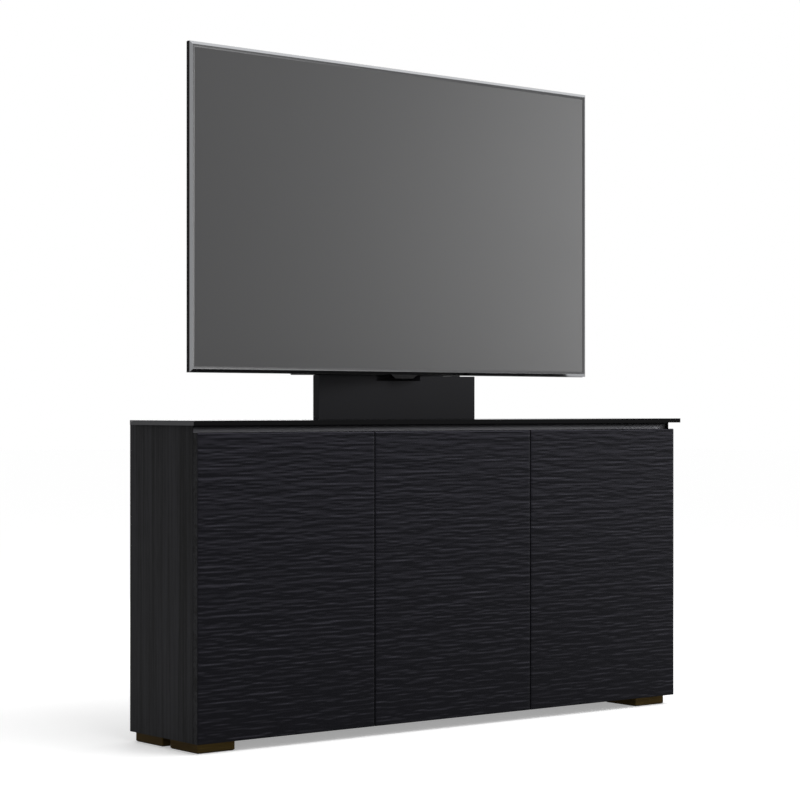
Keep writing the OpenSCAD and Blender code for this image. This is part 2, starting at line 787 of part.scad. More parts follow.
// Bracket on the plate, with two lugs bored for the swivel pin
bracket_t = 4;
bracket_w = 60;
lug_r = sleeve_r;
lug_gap = sleeve_h + 2 * washer_t;
bracket_h = lug_gap + 2 * lug_t;
bracket_y = post_y - cross_t - bracket_t;
module lug_outline() {
    difference() {
        union() {
            circle(lug_r);
            translate([-lug_r, 0]) square([2 * lug_r, bracket_y + 1 - pivot_y]);
        }
        circle(pivot_r + running_fit);
    }
}

module pivot_bracket() {
    color(steel_black) {
        block([-bracket_w / 2, bracket_y, screen_z - bracket_h / 2],
            [bracket_w / 2, bracket_y + bracket_t, screen_z + bracket_h / 2]);
        for (z = [-bracket_h / 2, bracket_h / 2 - lug_t])
            translate([0, pivot_y, screen_z + z]) linear_extrude(lug_t) lug_outline();
    }
}

// Pin with a head above the upper lug and a spring ring below the lower one
pin_over = 4;
module pivot_pin() {
    ring_t = 1.5;
    ring_gap = 0.5;
    color(zinc) translate([0, pivot_y, screen_z]) {
        translate([0, 0, -bracket_h / 2 - pin_over]) cylinder(r = pivot_r, h = bracket_h + pin_over);
        translate([0, 0, bracket_h / 2]) cylinder(r = pivot_r + 3, h = pin_over);
        translate([0, 0, -bracket_h / 2 - ring_gap - ring_t]) cylinder(r = pivot_r + 2, h = ring_t);
    }
}

module pivot_washers() {
    color(clear_plastic) translate([0, pivot_y, screen_z]) for (s = [-1, 1])
        translate([0, 0, s > 0 ? sleeve_h / 2 : -sleeve_h / 2 - washer_t]) difference() {
            cylinder(r = sleeve_r, h = washer_t);
            translate([0, 0, -1]) cylinder(r = pivot_r + loose_fit, h = washer_t + 2);
        }
}

// Sleeve on the swivel pin, with a beam in front of it and an ear at each end for the tilt studs
module swivel_beam() {
    ear_rear = stud_r + 8 - tilt_y;
    sleeve_clear = 0.25;
    gusset_z = sleeve_h / 2 - 25;
    color(steel_black) turned() difference() {
        union() {
            translate([0, 0, sleeve_clear - sleeve_h / 2])
                cylinder(r = sleeve_r, h = sleeve_h - 2 * sleeve_clear);
            block([-ear_x + 1, -beam_front, -beam_h / 2], [ear_x - 1, beam_d - beam_front, beam_h / 2]);
            for (s = [-1, 1]) block([s > 0 ? ear_x - ear_t : -ear_x, -beam_front, -beam_h / 2],
                [s > 0 ? ear_x : -ear_x + ear_t, ear_rear, beam_h / 2]);
            for (s = [-1, 1]) gusset(s * gusset_z);
        }
        translate([0, 0, -sleeve_h]) cylinder(r = pivot_r + running_fit, h = 2 * sleeve_h);
        for (s = [-1, 1])
            rod_x([s > 0 ? ear_x - ear_t : -ear_x - 1, -tilt_y, 0], stud_r + running_fit, ear_t + 1);
    }
}

// Rib that ties the sleeve to the beam
module gusset(z) {
    t = 10;
    block([-t / 2, -beam_front, min(z, 0)], [t / 2, -pivot_r - 2, max(z, 0)]);
}

// Arms: channels with a web on the screen, rows of slots, and bores for the tilt studs
arm_slot_l = 40;
arm_slot_step = arm_slot_l + 15;
arm_slot_zs = [for (s = [-1, 1], i = [0, 1]) s * (arm_l / 6 + i * arm_slot_step)];
module arm(s) {
    web_y = -screen_rear;
    x0 = s * arm_x - arm_w / 2;
    x1 = x0 + arm_w;
    color(steel_black) turned() difference() {
        block([x0, web_y, -arm_l / 2], [x1, web_y + arm_d, arm_l / 2]);
        block([x0 + arm_sheet, web_y + arm_sheet, -arm_l / 2 - 1],
            [x1 - arm_sheet, web_y + arm_d + 1, arm_l / 2 + 1]);
        rod_x([x0 - 1, -tilt_y, 0], stud_r + running_fit, arm_w + 2);
        for (z = [-1, 1])
            rod_y([s * arm_x, web_y - 1, z * hole_pitch / 2], bolt_r + loose_fit, arm_sheet + 2);
        for (z = arm_slot_zs) translate([s * arm_x, web_y - 1, z]) rotate([-90, 90, 0])
            linear_extrude(arm_sheet + 2) slot_outline(arm_slot_l, 2 * bolt_r);
    }
}

module left_arm() arm(-1);
module right_arm() arm(1);

module arm_washers() {
    color(clear_plastic) turned() for (s = [-1, 1]) difference() {
        rod_x([s > 0 ? ear_x : -ear_x - washer_t, -tilt_y, 0], stud_r + 4, washer_t);
        rod_x([s * ear_x - 2 * washer_t, -tilt_y, 0], stud_r + loose_fit, 4 * washer_t);
    }
}

bolt_grip = 10;
module arm_bolts() {
    color(zinc) turned() for (sx = [-1, 1], sz = [-1, 1])
        bolt_to_front(sx * arm_x, sz * hole_pitch / 2, -screen_rear - bolt_grip, -screen_rear + arm_sheet);
}

// Knob with five lobes and the stud that the screen tilts on
module tilt_knob(s) {
    stud_l = knob_x - ear_x + ear_t - 1;
    lobes = 5;
    neck_h = 4;
    grip_h = 13;
    color(black_plastic) turned() translate([s * knob_x, -tilt_y, 0]) rotate([0, 90 * s, 0]) {
        cylinder(r = 9, h = neck_h);
        translate([0, 0, neck_h]) linear_extrude(grip_h) {
            circle(12);
            for (i = [0 : lobes - 1]) rotate(i * 360 / lobes) translate([11, 0]) circle(4.5);
        }
        translate([0, 0, -stud_l]) cylinder(r = stud_r, h = stud_l);
    }
}

module left_tilt_knob() tilt_knob(-1);
module right_tilt_knob() tilt_knob(1);

// Upright plate whose four edges follow the same steps, each a [depth, inset from w by h]
module stepped_plate(w, h, steps) {
    back = [for (i = [len(steps) - 1 : -1 : 0]) steps[i]];
    intersection() {
        along_x(-w, w) polygon([for (p = steps) [p[0], p[1] - h / 2], for (p = back) [p[0], h / 2 - p[1]]]);
        translate([0, 0, -h]) linear_extrude(2 * h)
            polygon([for (p = steps) [p[1] - w / 2, p[0]], for (p = back) [w / 2 - p[1], p[0]]]);
    }
}

// Depths of the layers of the screen, from its front
lip_t = 3;
panel_t = 4;
cover_t = 3;
frame_d = edge_d - cover_t;

// Bright outer frame, bevelled at the front
module screen_trim() {
    f = -screen_front;
    color(satin_metal) turned() difference() {
        stepped_plate(screen_w, screen_h, [[f, trim_w], [f + trim_bevel, 0], [f + frame_d, 0]]);
        stepped_plate(screen_w, screen_h, [[f - 1, trim_w], [f + frame_d + 1, trim_w]]);
    }
}

// Black frame that laps the glass of the panel and slopes down to it
module screen_bezel() {
    set_back = 0.3;
    lip_edge = 0.4;
    wall = 2;
    f = -screen_front;
    w = screen_w - 2 * trim_w;
    h = screen_h - 2 * trim_w;
    slope_d = lip_t - lip_edge - set_back;
    color(black_plastic) turned() difference() {
        stepped_plate(w, h, [[f, 0], [f + frame_d, 0]]);
        stepped_plate(w, h, [[f + set_back - slope_d, -bezel_w], [f + lip_t - lip_edge, bezel_w],
            [f + lip_t, bezel_w], [f + lip_t, wall], [f + frame_d + 1, wall]]);
    }
}

panel_w = screen_w - 2 * trim_w - 5;
panel_h = screen_h - 2 * trim_w - 5;
module screen_panel() {
    f = -screen_front + lip_t;
    color(glass_black) turned()
        block([-panel_w / 2, f, -panel_h / 2], [panel_w / 2, f + panel_t, panel_h / 2]);
}

module screen_chassis() {
    f = -screen_front + lip_t + panel_t;
    color(black_plastic) turned() block([-panel_w / 2, f, -panel_h / 2],
        [panel_w / 2, -screen_front + frame_d, panel_h / 2]);
}

// Rear cover: a thin plate with a hump that slopes in on all four sides, vents and a socket bay
hump_slope = 40;
socket_w = 70;
socket_h = 180;
socket_depth = 14;
socket_in = 130;
socket_x = socket_in - hump_w / 2;
screen_hole_l = 30;
cover_vents = 8;
cover_vent_l = 160;
cover_vent_x = 330;
cover_vent_z = 130;
module hump() {
    y0 = edge_d - screen_front;
    y1 = -screen_rear;
    w = hump_w / 2;
    h = hump_h / 2;
    intersection() {
        along_x(-hump_w, hump_w) polygon([[y0 - 1, -h], [y0, -h], [y1, hump_slope - h], [y1, h - hump_slope],
            [y0, h], [y0 - 1, h]]);
        translate([0, 0, -hump_h]) linear_extrude(2 * hump_h) polygon([[-w, y0 - 1], [-w, y0],
            [hump_slope - w, y1], [w - hump_slope, y1], [w, y0], [w, y0 - 1]]);
    }
}

module screen_rear_cover() {
    y0 = frame_d - screen_front;
    color(black_plastic) turned() difference() {
        union() {
            block([1 - screen_w / 2, y0, -screen_h / 2 - shell_drop],
                [screen_w / 2 - 1, y0 + cover_t, screen_h / 2 - 1]);
            hump();
        }
        for (sx = [-1, 1], sz = [-1, 1])
            rod_y([sx * arm_x, -screen_rear - bolt_grip - 1, sz * hole_pitch / 2], bolt_r + loose_fit,
                screen_hole_l);
        block([socket_x - socket_w / 2, -screen_rear - socket_depth, -socket_h / 2],
            [socket_x + socket_w / 2, 0, socket_h / 2]);
        for (i = [0 : cover_vents - 1], s = [-1, 1])
            translate([s * cover_vent_x, 1 - screen_rear, cover_vent_z + i * 9]) rotate([90, 0, 0])
                linear_extrude(3) slot_outline(cover_vent_l, 4);
    }
}

// Block of sockets in the bay of the rear cover: video sockets, a round aerial socket and the mains inlet
module socket_block() {
    y0 = -screen_rear - socket_depth;
    face = y0 + 5;
    deep = 4;
    w = socket_w / 2 - 0.5;
    h = socket_h / 2 - 0.5;
    video = [8, 6, 18];
    video_z = 10;
    inlet = [12, 18, -60];
    color(black_plastic) turned() difference() {
        block([socket_x - w, y0, -h], [socket_x + w, face, h]);
        for (z = [for (i = [0 : 3]) video_z + i * video[2]])
            block([socket_x - video[0], face - deep, z], [socket_x + video[0], face + 1, z + video[1]]);
        rod_y([socket_x, face - deep, -video_z], 4.5, deep + 1);
        block([socket_x - inlet[0], face - deep, inlet[2]],
            [socket_x + inlet[0], face + 1, inlet[2] + inlet[1]]);
    }
}

// Sensor pod: a shallow block with sloping ends under the middle of the screen, and behind it a flange that
// carries on the lower edge of the rear cover
key_w = 16;
key_d = 5;
key_h = 6;
key_out = 1.2;
key_travel = 1;
key_gap = 0.3;
pod_slope = 16;
pod_front = 1;
pod_flange = 1;
pod_d = frame_d - pod_front - pod_flange;
module pod_outline(over) {
    w = pod_w / 2 + over;
    polygon([[-w, 0], [w, 0], [w - pod_slope, -pod_drop - over], [pod_slope - w, -pod_drop - over]]);
}

module sensor_pod() {
    y0 = -screen_front + pod_front;
    z1 = -screen_h / 2;
    color(black_plastic) turned() difference() {
        union() {
            translate([0, y0 + pod_d, z1]) rotate([90, 0, 0]) linear_extrude(pod_d) pod_outline(0);
            translate([0, frame_d - screen_front, z1]) rotate([90, 0, 0])
                linear_extrude(pod_flange) pod_outline(shell_drop);
        }
        block([-key_w / 2 - key_gap, y0 + pod_d / 2 - key_d / 2 - key_gap, z1 - pod_drop - 1],
            [key_w / 2 + key_gap, y0 + pod_d / 2 + key_d / 2 + key_gap,
                z1 - pod_drop + key_h - key_out + key_travel + key_gap]);
    }
}

// Power key under the pod, pushed up
module power_key() {
    y0 = -screen_front + pod_front + pod_d / 2;
    z0 = -screen_h / 2 - pod_drop - key_out;
    color(satin_metal) turned()
        block([-key_w / 2, y0 - key_d / 2, z0], [key_w / 2, y0 + key_d / 2, z0 + key_h]);
}

left_side_panel();
right_side_panel();
left_divider();
right_divider();
bottom_panel();
sub_top_panel();
glass_top();
glass_pads();
grip_rail();
left_back_panel();
centre_back_panel();
right_back_panel();
port_liners();
left_shelf();
centre_shelf();
right_shelf();
shelf_pins();
front_left_foot();
front_right_foot();
rear_left_foot();
rear_right_foot();
foot_pads();
foot_screws();
hinge_arms();
door_bumpers();
left_door();
left_hinge_cups();
centre_door();
centre_hinge_cups();
right_door();
right_hinge_cups();
upper_mount_rail();
lower_mount_rail();
left_post();
right_post();
post_caps();
post_bolts();
mount_cover();
duct_back();
cover_brackets();
cross_plate();
cross_plate_bolts();
pivot_bracket();
pivot_pin();
pivot_washers();
swivel_beam();
left_arm();
right_arm();
arm_washers();
arm_bolts();
left_tilt_knob();
right_tilt_knob();
screen_trim();
screen_bezel();
screen_panel();
screen_chassis();
screen_rear_cover();
socket_block();
sensor_pod();
power_key();
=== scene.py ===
"""Dresses the media cabinet and its screen mount, and sets up the studio that shows them."""

import logging
import math
from dataclasses import dataclass, field, replace
from enum import Enum

import bpy
import numpy as np
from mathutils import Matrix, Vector

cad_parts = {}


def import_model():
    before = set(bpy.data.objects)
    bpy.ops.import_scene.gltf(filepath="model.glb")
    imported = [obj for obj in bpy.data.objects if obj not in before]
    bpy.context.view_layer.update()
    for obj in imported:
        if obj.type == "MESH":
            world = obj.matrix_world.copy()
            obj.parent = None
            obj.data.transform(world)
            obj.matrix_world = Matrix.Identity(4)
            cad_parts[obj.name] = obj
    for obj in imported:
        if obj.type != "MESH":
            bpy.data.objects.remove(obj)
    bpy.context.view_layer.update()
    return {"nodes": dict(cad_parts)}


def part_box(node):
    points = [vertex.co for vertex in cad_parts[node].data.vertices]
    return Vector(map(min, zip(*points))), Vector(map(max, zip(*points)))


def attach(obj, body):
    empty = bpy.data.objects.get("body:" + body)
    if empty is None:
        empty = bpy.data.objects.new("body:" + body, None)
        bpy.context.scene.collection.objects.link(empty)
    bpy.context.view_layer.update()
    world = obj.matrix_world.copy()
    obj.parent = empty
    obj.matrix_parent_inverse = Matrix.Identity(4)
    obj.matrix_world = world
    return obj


LOG = logging.getLogger("media_cabinet")
MM = 0.001
WELD_DISTANCE = 0.01 * MM
SHARP_ANGLE = math.radians(35)
SOFT_SEGMENTS = 2

Nodes = dict[str, bpy.types.Object]
Triple = tuple[float, float, float]


def linear(colour: str) -> tuple[float, float, float, float]:
    """Turns an sRGB hex colour to linear light.

    Args:
        colour: The colour as "#rrggbb".

    Returns:
        Red, green, blue and alpha, with alpha 1.
    """
    parts = [int(colour[i : i + 2], 16) / 255 for i in (1, 3, 5)]
    light = [c / 12.92 if c <= 0.04045 else ((c + 0.055) / 1.055) ** 2.4 for c in parts]
    return (*light, 1.0)


def add_node(
    tree: bpy.types.NodeTree, kind: str, inputs: dict | None = None, **settings: object
) -> bpy.types.Node:
    """Adds one node to a shader tree.

    Args:
        tree: The tree that takes the node.
        kind: The node's type name.
        inputs: Input name or number to a value, or to a socket that is linked to it.
        **settings: Attributes set on the node.

    Returns:
        The new node.
    """
    node = tree.nodes.new(kind)
    for name, value in settings.items():
        setattr(node, name, value)
    for name, value in (inputs or {}).items():
        if isinstance(value, bpy.types.NodeSocket):
            tree.links.new(value, node.inputs[name])
        else:
            node.inputs[name].default_value = value
    return node


class Along(Enum):
    """The axis that a grain, brush line or extrusion line runs along."""

    X = 0
    Y = 1
    Z = 2

    def scale(self, across_mm: float, along_mm: float) -> Triple:
        """Gives the texture scale for a feature size across and along this axis.

        Args:
            across_mm: Size of a feature across the axis.
            along_mm: Size of a feature along the axis.

        Returns:
            Features in each metre, along X, Y and Z.
        """
        sizes = [across_mm, across_mm, across_mm]
        sizes[self.value] = along_mm
        return tuple(1 / (s * MM) for s in sizes)


def even(size_mm: float) -> Triple:
    """Gives the texture scale for a feature that is as large in every direction.

    Args:
        size_mm: Size of a feature.

    Returns:
        Features in each metre, along X, Y and Z.
    """
    return (1 / (size_mm * MM),) * 3


@dataclass(frozen=True)
class Finish:
    """A surface finish, made once as a material.

    Args:
        name: Name of the material.
        colour: Main colour as sRGB hex.
        roughness: Roughness of the surface.
    """

    name: str
    colour: str
    roughness: float

    def shade(self, tree: bpy.types.NodeTree, surface: bpy.types.Node) -> None:
        """Sets up the nodes of the finish; each finish has its own."""
        raise NotImplementedError

    def material(self) -> bpy.types.Material:
        """Gives the material, and makes it at the first call.

        Returns:
            The material of this finish.
        """
        made = bpy.data.materials.get(self.name)
        if made:
            return made
        made = bpy.data.materials.new(self.name)
        made.use_nodes = True
        tree = made.node_tree
        surface = tree.nodes["Principled BSDF"]
        surface.inputs["Base Color"].default_value = linear(self.colour)
        surface.inputs["Roughness"].default_value = self.roughness
        self.shade(tree, surface)
        return made

    def pattern(
        self, tree: bpy.types.NodeTree, scale: Triple, detail: float = 3.0
    ) -> bpy.types.NodeSocket:
        """Adds a noise pattern in the object's own frame.

        Args:
            tree: The material's node tree.
            scale: Features in each metre, along X, Y and Z.
            detail: Octaves of the noise.

        Returns:
            The socket with the noise, from 0 to 1.
        """
        place = add_node(tree, "ShaderNodeTexCoord")
        scaled = add_node(
            tree, "ShaderNodeMapping", {"Vector": place.outputs["Object"], "Scale": scale}
        )
        noise = add_node(
            tree,
            "ShaderNodeTexNoise",
            {"Vector": scaled.outputs["Vector"], "Scale": 1.0, "Detail": detail},
        )
        return noise.outputs["Fac"]

    def tint(
        self,
        tree: bpy.types.NodeTree,
        surface: bpy.types.Node,
        amount: bpy.types.NodeSocket,
        dark: str,
        light: str,
        low: float = 0.3,
        high: float = 0.7,
    ) -> None:
        """Colours the surface between two colours by a pattern.

        Args:
            tree: The material's node tree.
            surface: The shader that takes the colour.
            amount: The pattern's socket.
            dark: Colour where the pattern is low, as sRGB hex.
            light: Colour where the pattern is high, as sRGB hex.
            low: Pattern value that is fully dark.
            high: Pattern value that is fully light.
        """
        ramp = add_node(tree, "ShaderNodeValToRGB", {"Fac": amount})
        first, second = ramp.color_ramp.elements
        first.position, first.color = low, linear(dark)
        second.position, second.color = high, linear(light)
        tree.links.new(ramp.outputs["Color"], surface.inputs["Base Color"])

    def roughen(
        self,
        tree: bpy.types.NodeTree,
        surface: bpy.types.Node,
        amount: bpy.types.NodeSocket,
        low: float,
        high: float,
    ) -> None:
        """Varies the roughness around the finish's own by a pattern.

        Args:
            tree: The material's node tree.
            surface: The shader that takes the roughness.
            amount: The pattern's socket.
            low: What is added where the pattern is 0.
            high: What is added where the pattern is 1.
        """
        rough = add_node(
            tree,
            "ShaderNodeMapRange",
            {"Value": amount, "To Min": self.roughness + low, "To Max": self.roughness + high},
            clamp=False,
        )
        tree.links.new(rough.outputs["Result"], surface.inputs["Roughness"])

    def relief(
        self,
        tree: bpy.types.NodeTree,
        surface: bpy.types.Node,
        height: bpy.types.NodeSocket,
        depth_mm: float,
        strength: float,
    ) -> None:
        """Bumps the surface by a pattern.

        Args:
            tree: The material's node tree.
            surface: The shader that takes the bump.
            height: The pattern's socket.
            depth_mm: Height of the relief.
            strength: Strength of the bump.
        """
        bump = add_node(
            tree,
            "ShaderNodeBump",
            {"Height": height, "Distance": depth_mm * MM, "Strength": strength},
        )
        tree.links.new(bump.outputs["Normal"], surface.inputs["Normal"])


@dataclass(frozen=True)
class StainedVeneer(Finish):
    """Ash veneer, sliced, stained black and sealed with satin lacquer.

    The stain hides the colour of the wood, and the grain still shows as faint bands, with fine
    open pores.

    Args:
        grain: The axis that the grain runs along.
        leaf_mm: Width and length of the broad tones of a veneer leaf.
        band_mm: Width and length of the bands of the grain.
        pore_mm: Width and length of the pores.
        band_share: Share of the bands against the broad tones.
        pore_share: Share of the pores against both.
        sheen: Specular level of the lacquer.
        light: Colour of the light bands, as sRGB hex.
        dark: Colour of the dark bands, as sRGB hex.
    """

    grain: Along = Along.Z
    leaf_mm: tuple[float, float] = (75.0, 6000.0)
    band_mm: tuple[float, float] = (9.0, 540.0)
    pore_mm: tuple[float, float] = (1.6, 48.0)
    band_share: float = 0.65
    pore_share: float = 0.2
    sheen: float = 0.05
    light: str = "#1c1c1f"
    dark: str = "#030304"

    def shade(self, tree: bpy.types.NodeTree, surface: bpy.types.Node) -> None:
        """Lays broad tones of the leaves, bands and pores along the grain.

        Args:
            tree: The material's node tree.
            surface: The shader that the nodes end in.
        """
        leaves = self.pattern(tree, self.grain.scale(*self.leaf_mm), detail=1.0)
        bands = self.pattern(tree, self.grain.scale(*self.band_mm), detail=4.0)
        pores = self.pattern(tree, self.grain.scale(*self.pore_mm), detail=2.0)
        # Inputs 0, 2 and 3 of a mix are the share of the second value, and the two values
        tone = add_node(tree, "ShaderNodeMix", {0: self.band_share, 2: leaves, 3: bands})
        tone = add_node(
            tree, "ShaderNodeMix", {0: self.pore_share, 2: tone.outputs[0], 3: pores}
        ).outputs[0]
        self.tint(tree, surface, tone, self.dark, self.light, low=0.42, high=0.58)
        self.roughen(tree, surface, pores, low=0.08, high=-0.08)
        surface.inputs["Specular IOR Level"].default_value = self.sheen
        self.relief(tree, surface, pores, depth_mm=0.12, strength=0.5)


@dataclass(frozen=True)
class CarvedStain(Finish):
    """Solid wood carved with a gouge, stained black and sealed with satin lacquer.

    The upper flanks of the ripples are painted pale in short level lines, a painted highlight, and
    the lower ones stay dark; the whole is painted a little darker towards the floor, as shade.

    Args:
        foot_z: Height of the lower end of the door, in metres.
        head_z: Height of the upper end of the door, in metres.
        fibre_mm: Width and length of the wood's fibres.
        fibre_share: Share of the fibres against the slope of the carving.
        height_shade_share: Share of the painted shade that darkens the door towards the floor,
            against both.
        sheen: Specular level of the lacquer.
        lit_flank: Colour of the upper flanks, a painted highlight, as sRGB hex.
        hollow: Colour of the stain on plain faces and lower flanks, as sRGB hex.
    """

    foot_z: float = 0.0
    head_z: float = 1.0
    fibre_mm: tuple[float, float] = (1.2, 48.0)
    fibre_share: float = 0.1
    height_shade_share: float = 0.08
    sheen: float = 0.03
    lit_flank: str = "#44434b"
    hollow: str = "#0f0f13"

    def shade(self, tree: bpy.types.NodeTree, surface: bpy.types.Node) -> None:
        """Paints upper flanks pale and lower ones dark by the slope, as highlight and shade, with
        fine fibres.

        Args:
            tree: The material's node tree.
            surface: The shader that the nodes end in.
        """
        place = add_node(tree, "ShaderNodeTexCoord")
        facing = add_node(tree, "ShaderNodeSeparateXYZ", {"Vector": place.outputs["Normal"]})
        # A plain upright face is at 0.5, upper flanks above it and lower ones below; the slope sets
        # painted highlight and shade
        slope = add_node(
            tree,
            "ShaderNodeMapRange",
            {"Value": facing.outputs["Z"], "To Min": 0.5, "To Max": 1.5},
            clamp=False,
        )
        axes = add_node(tree, "ShaderNodeSeparateXYZ", {"Vector": place.outputs["Object"]})
        # Painted shade: the door is painted a little darker towards the floor
        level = add_node(
            tree,
            "ShaderNodeMapRange",
            {"Value": axes.outputs["Z"], "From Min": self.foot_z, "From Max": self.head_z},
        )
        fibres = self.pattern(tree, Along.X.scale(*self.fibre_mm))
        tone = add_node(
            tree, "ShaderNodeMix", {0: self.fibre_share, 2: slope.outputs["Result"], 3: fibres}
        )
        tone = add_node(
            tree,
            "ShaderNodeMix",
            {0: self.height_shade_share, 2: tone.outputs[0], 3: level.outputs["Result"]},
        ).outputs[0]
        # Painted highlight on the upper flanks, over the dark stain
        self.tint(tree, surface, tone, self.hollow, self.lit_flank, low=0.47, high=1.0)
        self.roughen(tree, surface, tone, low=0.15, high=-0.1)
        surface.inputs["Specular IOR Level"].default_value = self.sheen
        self.relief(tree, surface, fibres, depth_mm=0.15, strength=0.4)


@dataclass(frozen=True)
class BackPaintedGlass(Finish):
    """Float glass, painted black from below, with ground ends.

    The faces are polished and nearly perfectly flat. The ends that face sideways are ground to a
    soft grey, set lighter than the front edge as a painted reflection of the light they catch.

    Args:
        ground_end_and_sheen: Colour of the ground ends, with a painted reflection in it, as sRGB
            hex.
        end_roughness: Roughness of the ground ends.
        end_from: How far the surface faces sideways where an end begins.
        end_full: How far the surface faces sideways where it is fully ground.
        smear_mm: Size of the faint smears on the polish.
        smear_roughness: Roughness of the dullest smears.
        sheen: Specular level of the polish.
    """

    ground_end_and_sheen: str = "#434345"
    end_roughness: float = 0.5
    end_from: float = 0.75
    end_full: float = 0.95
    smear_mm: float = 111.1
    smear_roughness: float = 0.132
    sheen: float = 0.06

    def shade(self, tree: bpy.types.NodeTree, surface: bpy.types.Node) -> None:
        """Makes the glass polished black, with satin grey ends where it faces sideways, partly a
        painted reflection.

        Args:
            tree: The material's node tree.
            surface: The shader that the nodes end in.
        """
        place = add_node(tree, "ShaderNodeTexCoord")
        facing = add_node(tree, "ShaderNodeSeparateXYZ", {"Vector": place.outputs["Normal"]})
        sideways = add_node(
            tree, "ShaderNodeMath", {0: facing.outputs["X"]}, operation="ABSOLUTE"
        ).outputs[0]
        # The sideways ends are ground grey, lightened as painted reflection
        ends = (self.end_from, self.end_full)
        self.tint(tree, surface, sideways, self.colour, self.ground_end_and_sheen, *ends)
        smears = self.pattern(tree, even(self.smear_mm), detail=4.0)
        smooth = add_node(
            tree,
            "ShaderNodeMapRange",
            {"Value": smears, "To Min": self.roughness, "To Max": self.smear_roughness},
            clamp=False,
        )
        rough = add_node(
            tree,
            "ShaderNodeMapRange",
            {
                "Value": sideways,
                "From Min": self.end_from,
                "From Max": self.end_full,
                "To Min": smooth.outputs["Result"],
                "To Max": self.end_roughness,
            },
        )
        tree.links.new(rough.outputs["Result"], surface.inputs["Roughness"])
        surface.inputs["IOR"].default_value = 1.52
        surface.inputs["Specular IOR Level"].default_value = self.sheen


@dataclass(frozen=True)
class AluminiumWithPaintedShade(Finish):
    """Extruded aluminium, anodised natural, with painted shade on the lip under the glass.

    The die leaves faint lines along the bar, and the anodised skin softens every highlight. The
    painted shade runs out softly down the cove, so that the grip grows lighter towards the doors.

    Args:
        shade_z: Height from which the painted shade is fully black, in metres.
        fade_mm: Height over which the painted shade runs out.
        black: Colour of the painted shade, as sRGB hex.
        die_mm: Spacing and length of the die lines.
    """

    shade_z: float = 0.0
    fade_mm: float = 9.0
    black: str = "#08080a"
    die_mm: tuple[float, float] = (0.9, 400.0)

    def shade(self, tree: bpy.types.NodeTree, surface: bpy.types.Node) -> None:
        """Paints the bar's upper part black as shade and leaves it natural below, with its die
        lines.

        Args:
            tree: The material's node tree.
            surface: The shader that the nodes end in.
        """
        lines = self.pattern(tree, Along.X.scale(*self.die_mm))
        place = add_node(tree, "ShaderNodeTexCoord")
        axes = add_node(tree, "ShaderNodeSeparateXYZ", {"Vector": place.outputs["Object"]})
        # Painted shade: black at the top of the bar, where the glass overhangs, fading out
        # downwards
        start_z = self.shade_z - self.fade_mm * MM
        level = add_node(
            tree,
            "ShaderNodeMapRange",
            {"Value": axes.outputs["Z"], "From Min": start_z, "From Max": self.shade_z},
        ).outputs["Result"]
        self.tint(tree, surface, level, self.colour, self.black, low=0.0, high=1.0)
        surface.inputs["Metallic"].default_value = 1.0
        self.roughen(tree, surface, lines, low=-0.08, high=0.1)
        self.relief(tree, surface, lines, depth_mm=0.03, strength=0.5)


@dataclass(frozen=True)
class ChamferedAluminium(Finish):
    """Aluminium bar, mitred, anodised black, with a polished cut along its front edge.

    The sides stay black, and the cut mirrors the room in a thin bright line, a little softened by
    the polish.

    Args:
        front: The way that the frame faces.
        cut: Colour of the polished metal, as sRGB hex.
        cut_from: How far the surface faces the front where the cut begins.
        cut_full: How far the surface faces the front where it is fully polished.
        mark_mm: Size of the faint marks of the polish.
        sheen: Specular level of the black skin.
    """

    front: Triple = (0.0, -1.0, 0.0)
    cut: str = "#858688"
    cut_from: float = 0.35
    cut_full: float = 0.5
    mark_mm: float = 2.5
    sheen: float = 0.06

    def shade(self, tree: bpy.types.NodeTree, surface: bpy.types.Node) -> None:
        """Makes the sides black, and polished metal where the surface turns to the front.

        Args:
            tree: The material's node tree.
            surface: The shader that the nodes end in.
        """
        place = add_node(tree, "ShaderNodeTexCoord")
        facing = add_node(
            tree,
            "ShaderNodeVectorMath",
            {0: place.outputs["Normal"], 1: self.front},
            operation="DOT_PRODUCT",
        ).outputs["Value"]
        cut = add_node(
            tree,
            "ShaderNodeMapRange",
            {"Value": facing, "From Min": self.cut_from, "From Max": self.cut_full},
        ).outputs["Result"]
        marks = self.pattern(tree, even(self.mark_mm))
        self.tint(tree, surface, cut, self.colour, self.cut, low=0.0, high=1.0)
        tree.links.new(cut, surface.inputs["Metallic"])
        self.roughen(tree, surface, marks, low=-0.03, high=0.05)
        surface.inputs["Specular IOR Level"].default_value = self.sheen
        self.relief(tree, surface, marks, depth_mm=0.01, strength=0.2)


@dataclass(frozen=True)
class BrushedBronze(Finish):
    """Steel block with a brushed bronze coating under clear lacquer.

    Fine level brush lines show in a dark brown metal.

    Args:
        light: Colour of the lighter lines, as sRGB hex.
        edge: Colour of the metal's highlights, as sRGB hex.
        brush_mm: Spacing of the brush lines.
        stroke_mm: Length of the brush lines.
        bare: Share of the metal that shows through the lacquer.
        sheen: Specular level of the lacquer.
    """

    light: str = "#3e331b"
    edge: str = "#7a6640"
    brush_mm: float = 0.8
    stroke_mm: float = 83.3
    bare: float = 0.6
    sheen: float = 0.1

    def shade(self, tree: bpy.types.NodeTree, surface: bpy.types.Node) -> None:
        """Draws level brush lines around the block.

        Args:
            tree: The material's node tree.
            surface: The shader that the nodes end in.
        """
        lines = self.pattern(tree, Along.Z.scale(self.stroke_mm, self.brush_mm), detail=4.0)
        self.tint(tree, surface, lines, self.colour, self.light, low=0.35, high=0.65)
        surface.inputs["Metallic"].default_value = self.bare
        surface.inputs["Specular IOR Level"].default_value = self.sheen
        surface.inputs["Specular Tint"].default_value = linear(self.edge)
        self.roughen(tree, surface, lines, low=-0.06, high=0.1)
        self.relief(tree, surface, lines, depth_mm=0.04, strength=0.4)


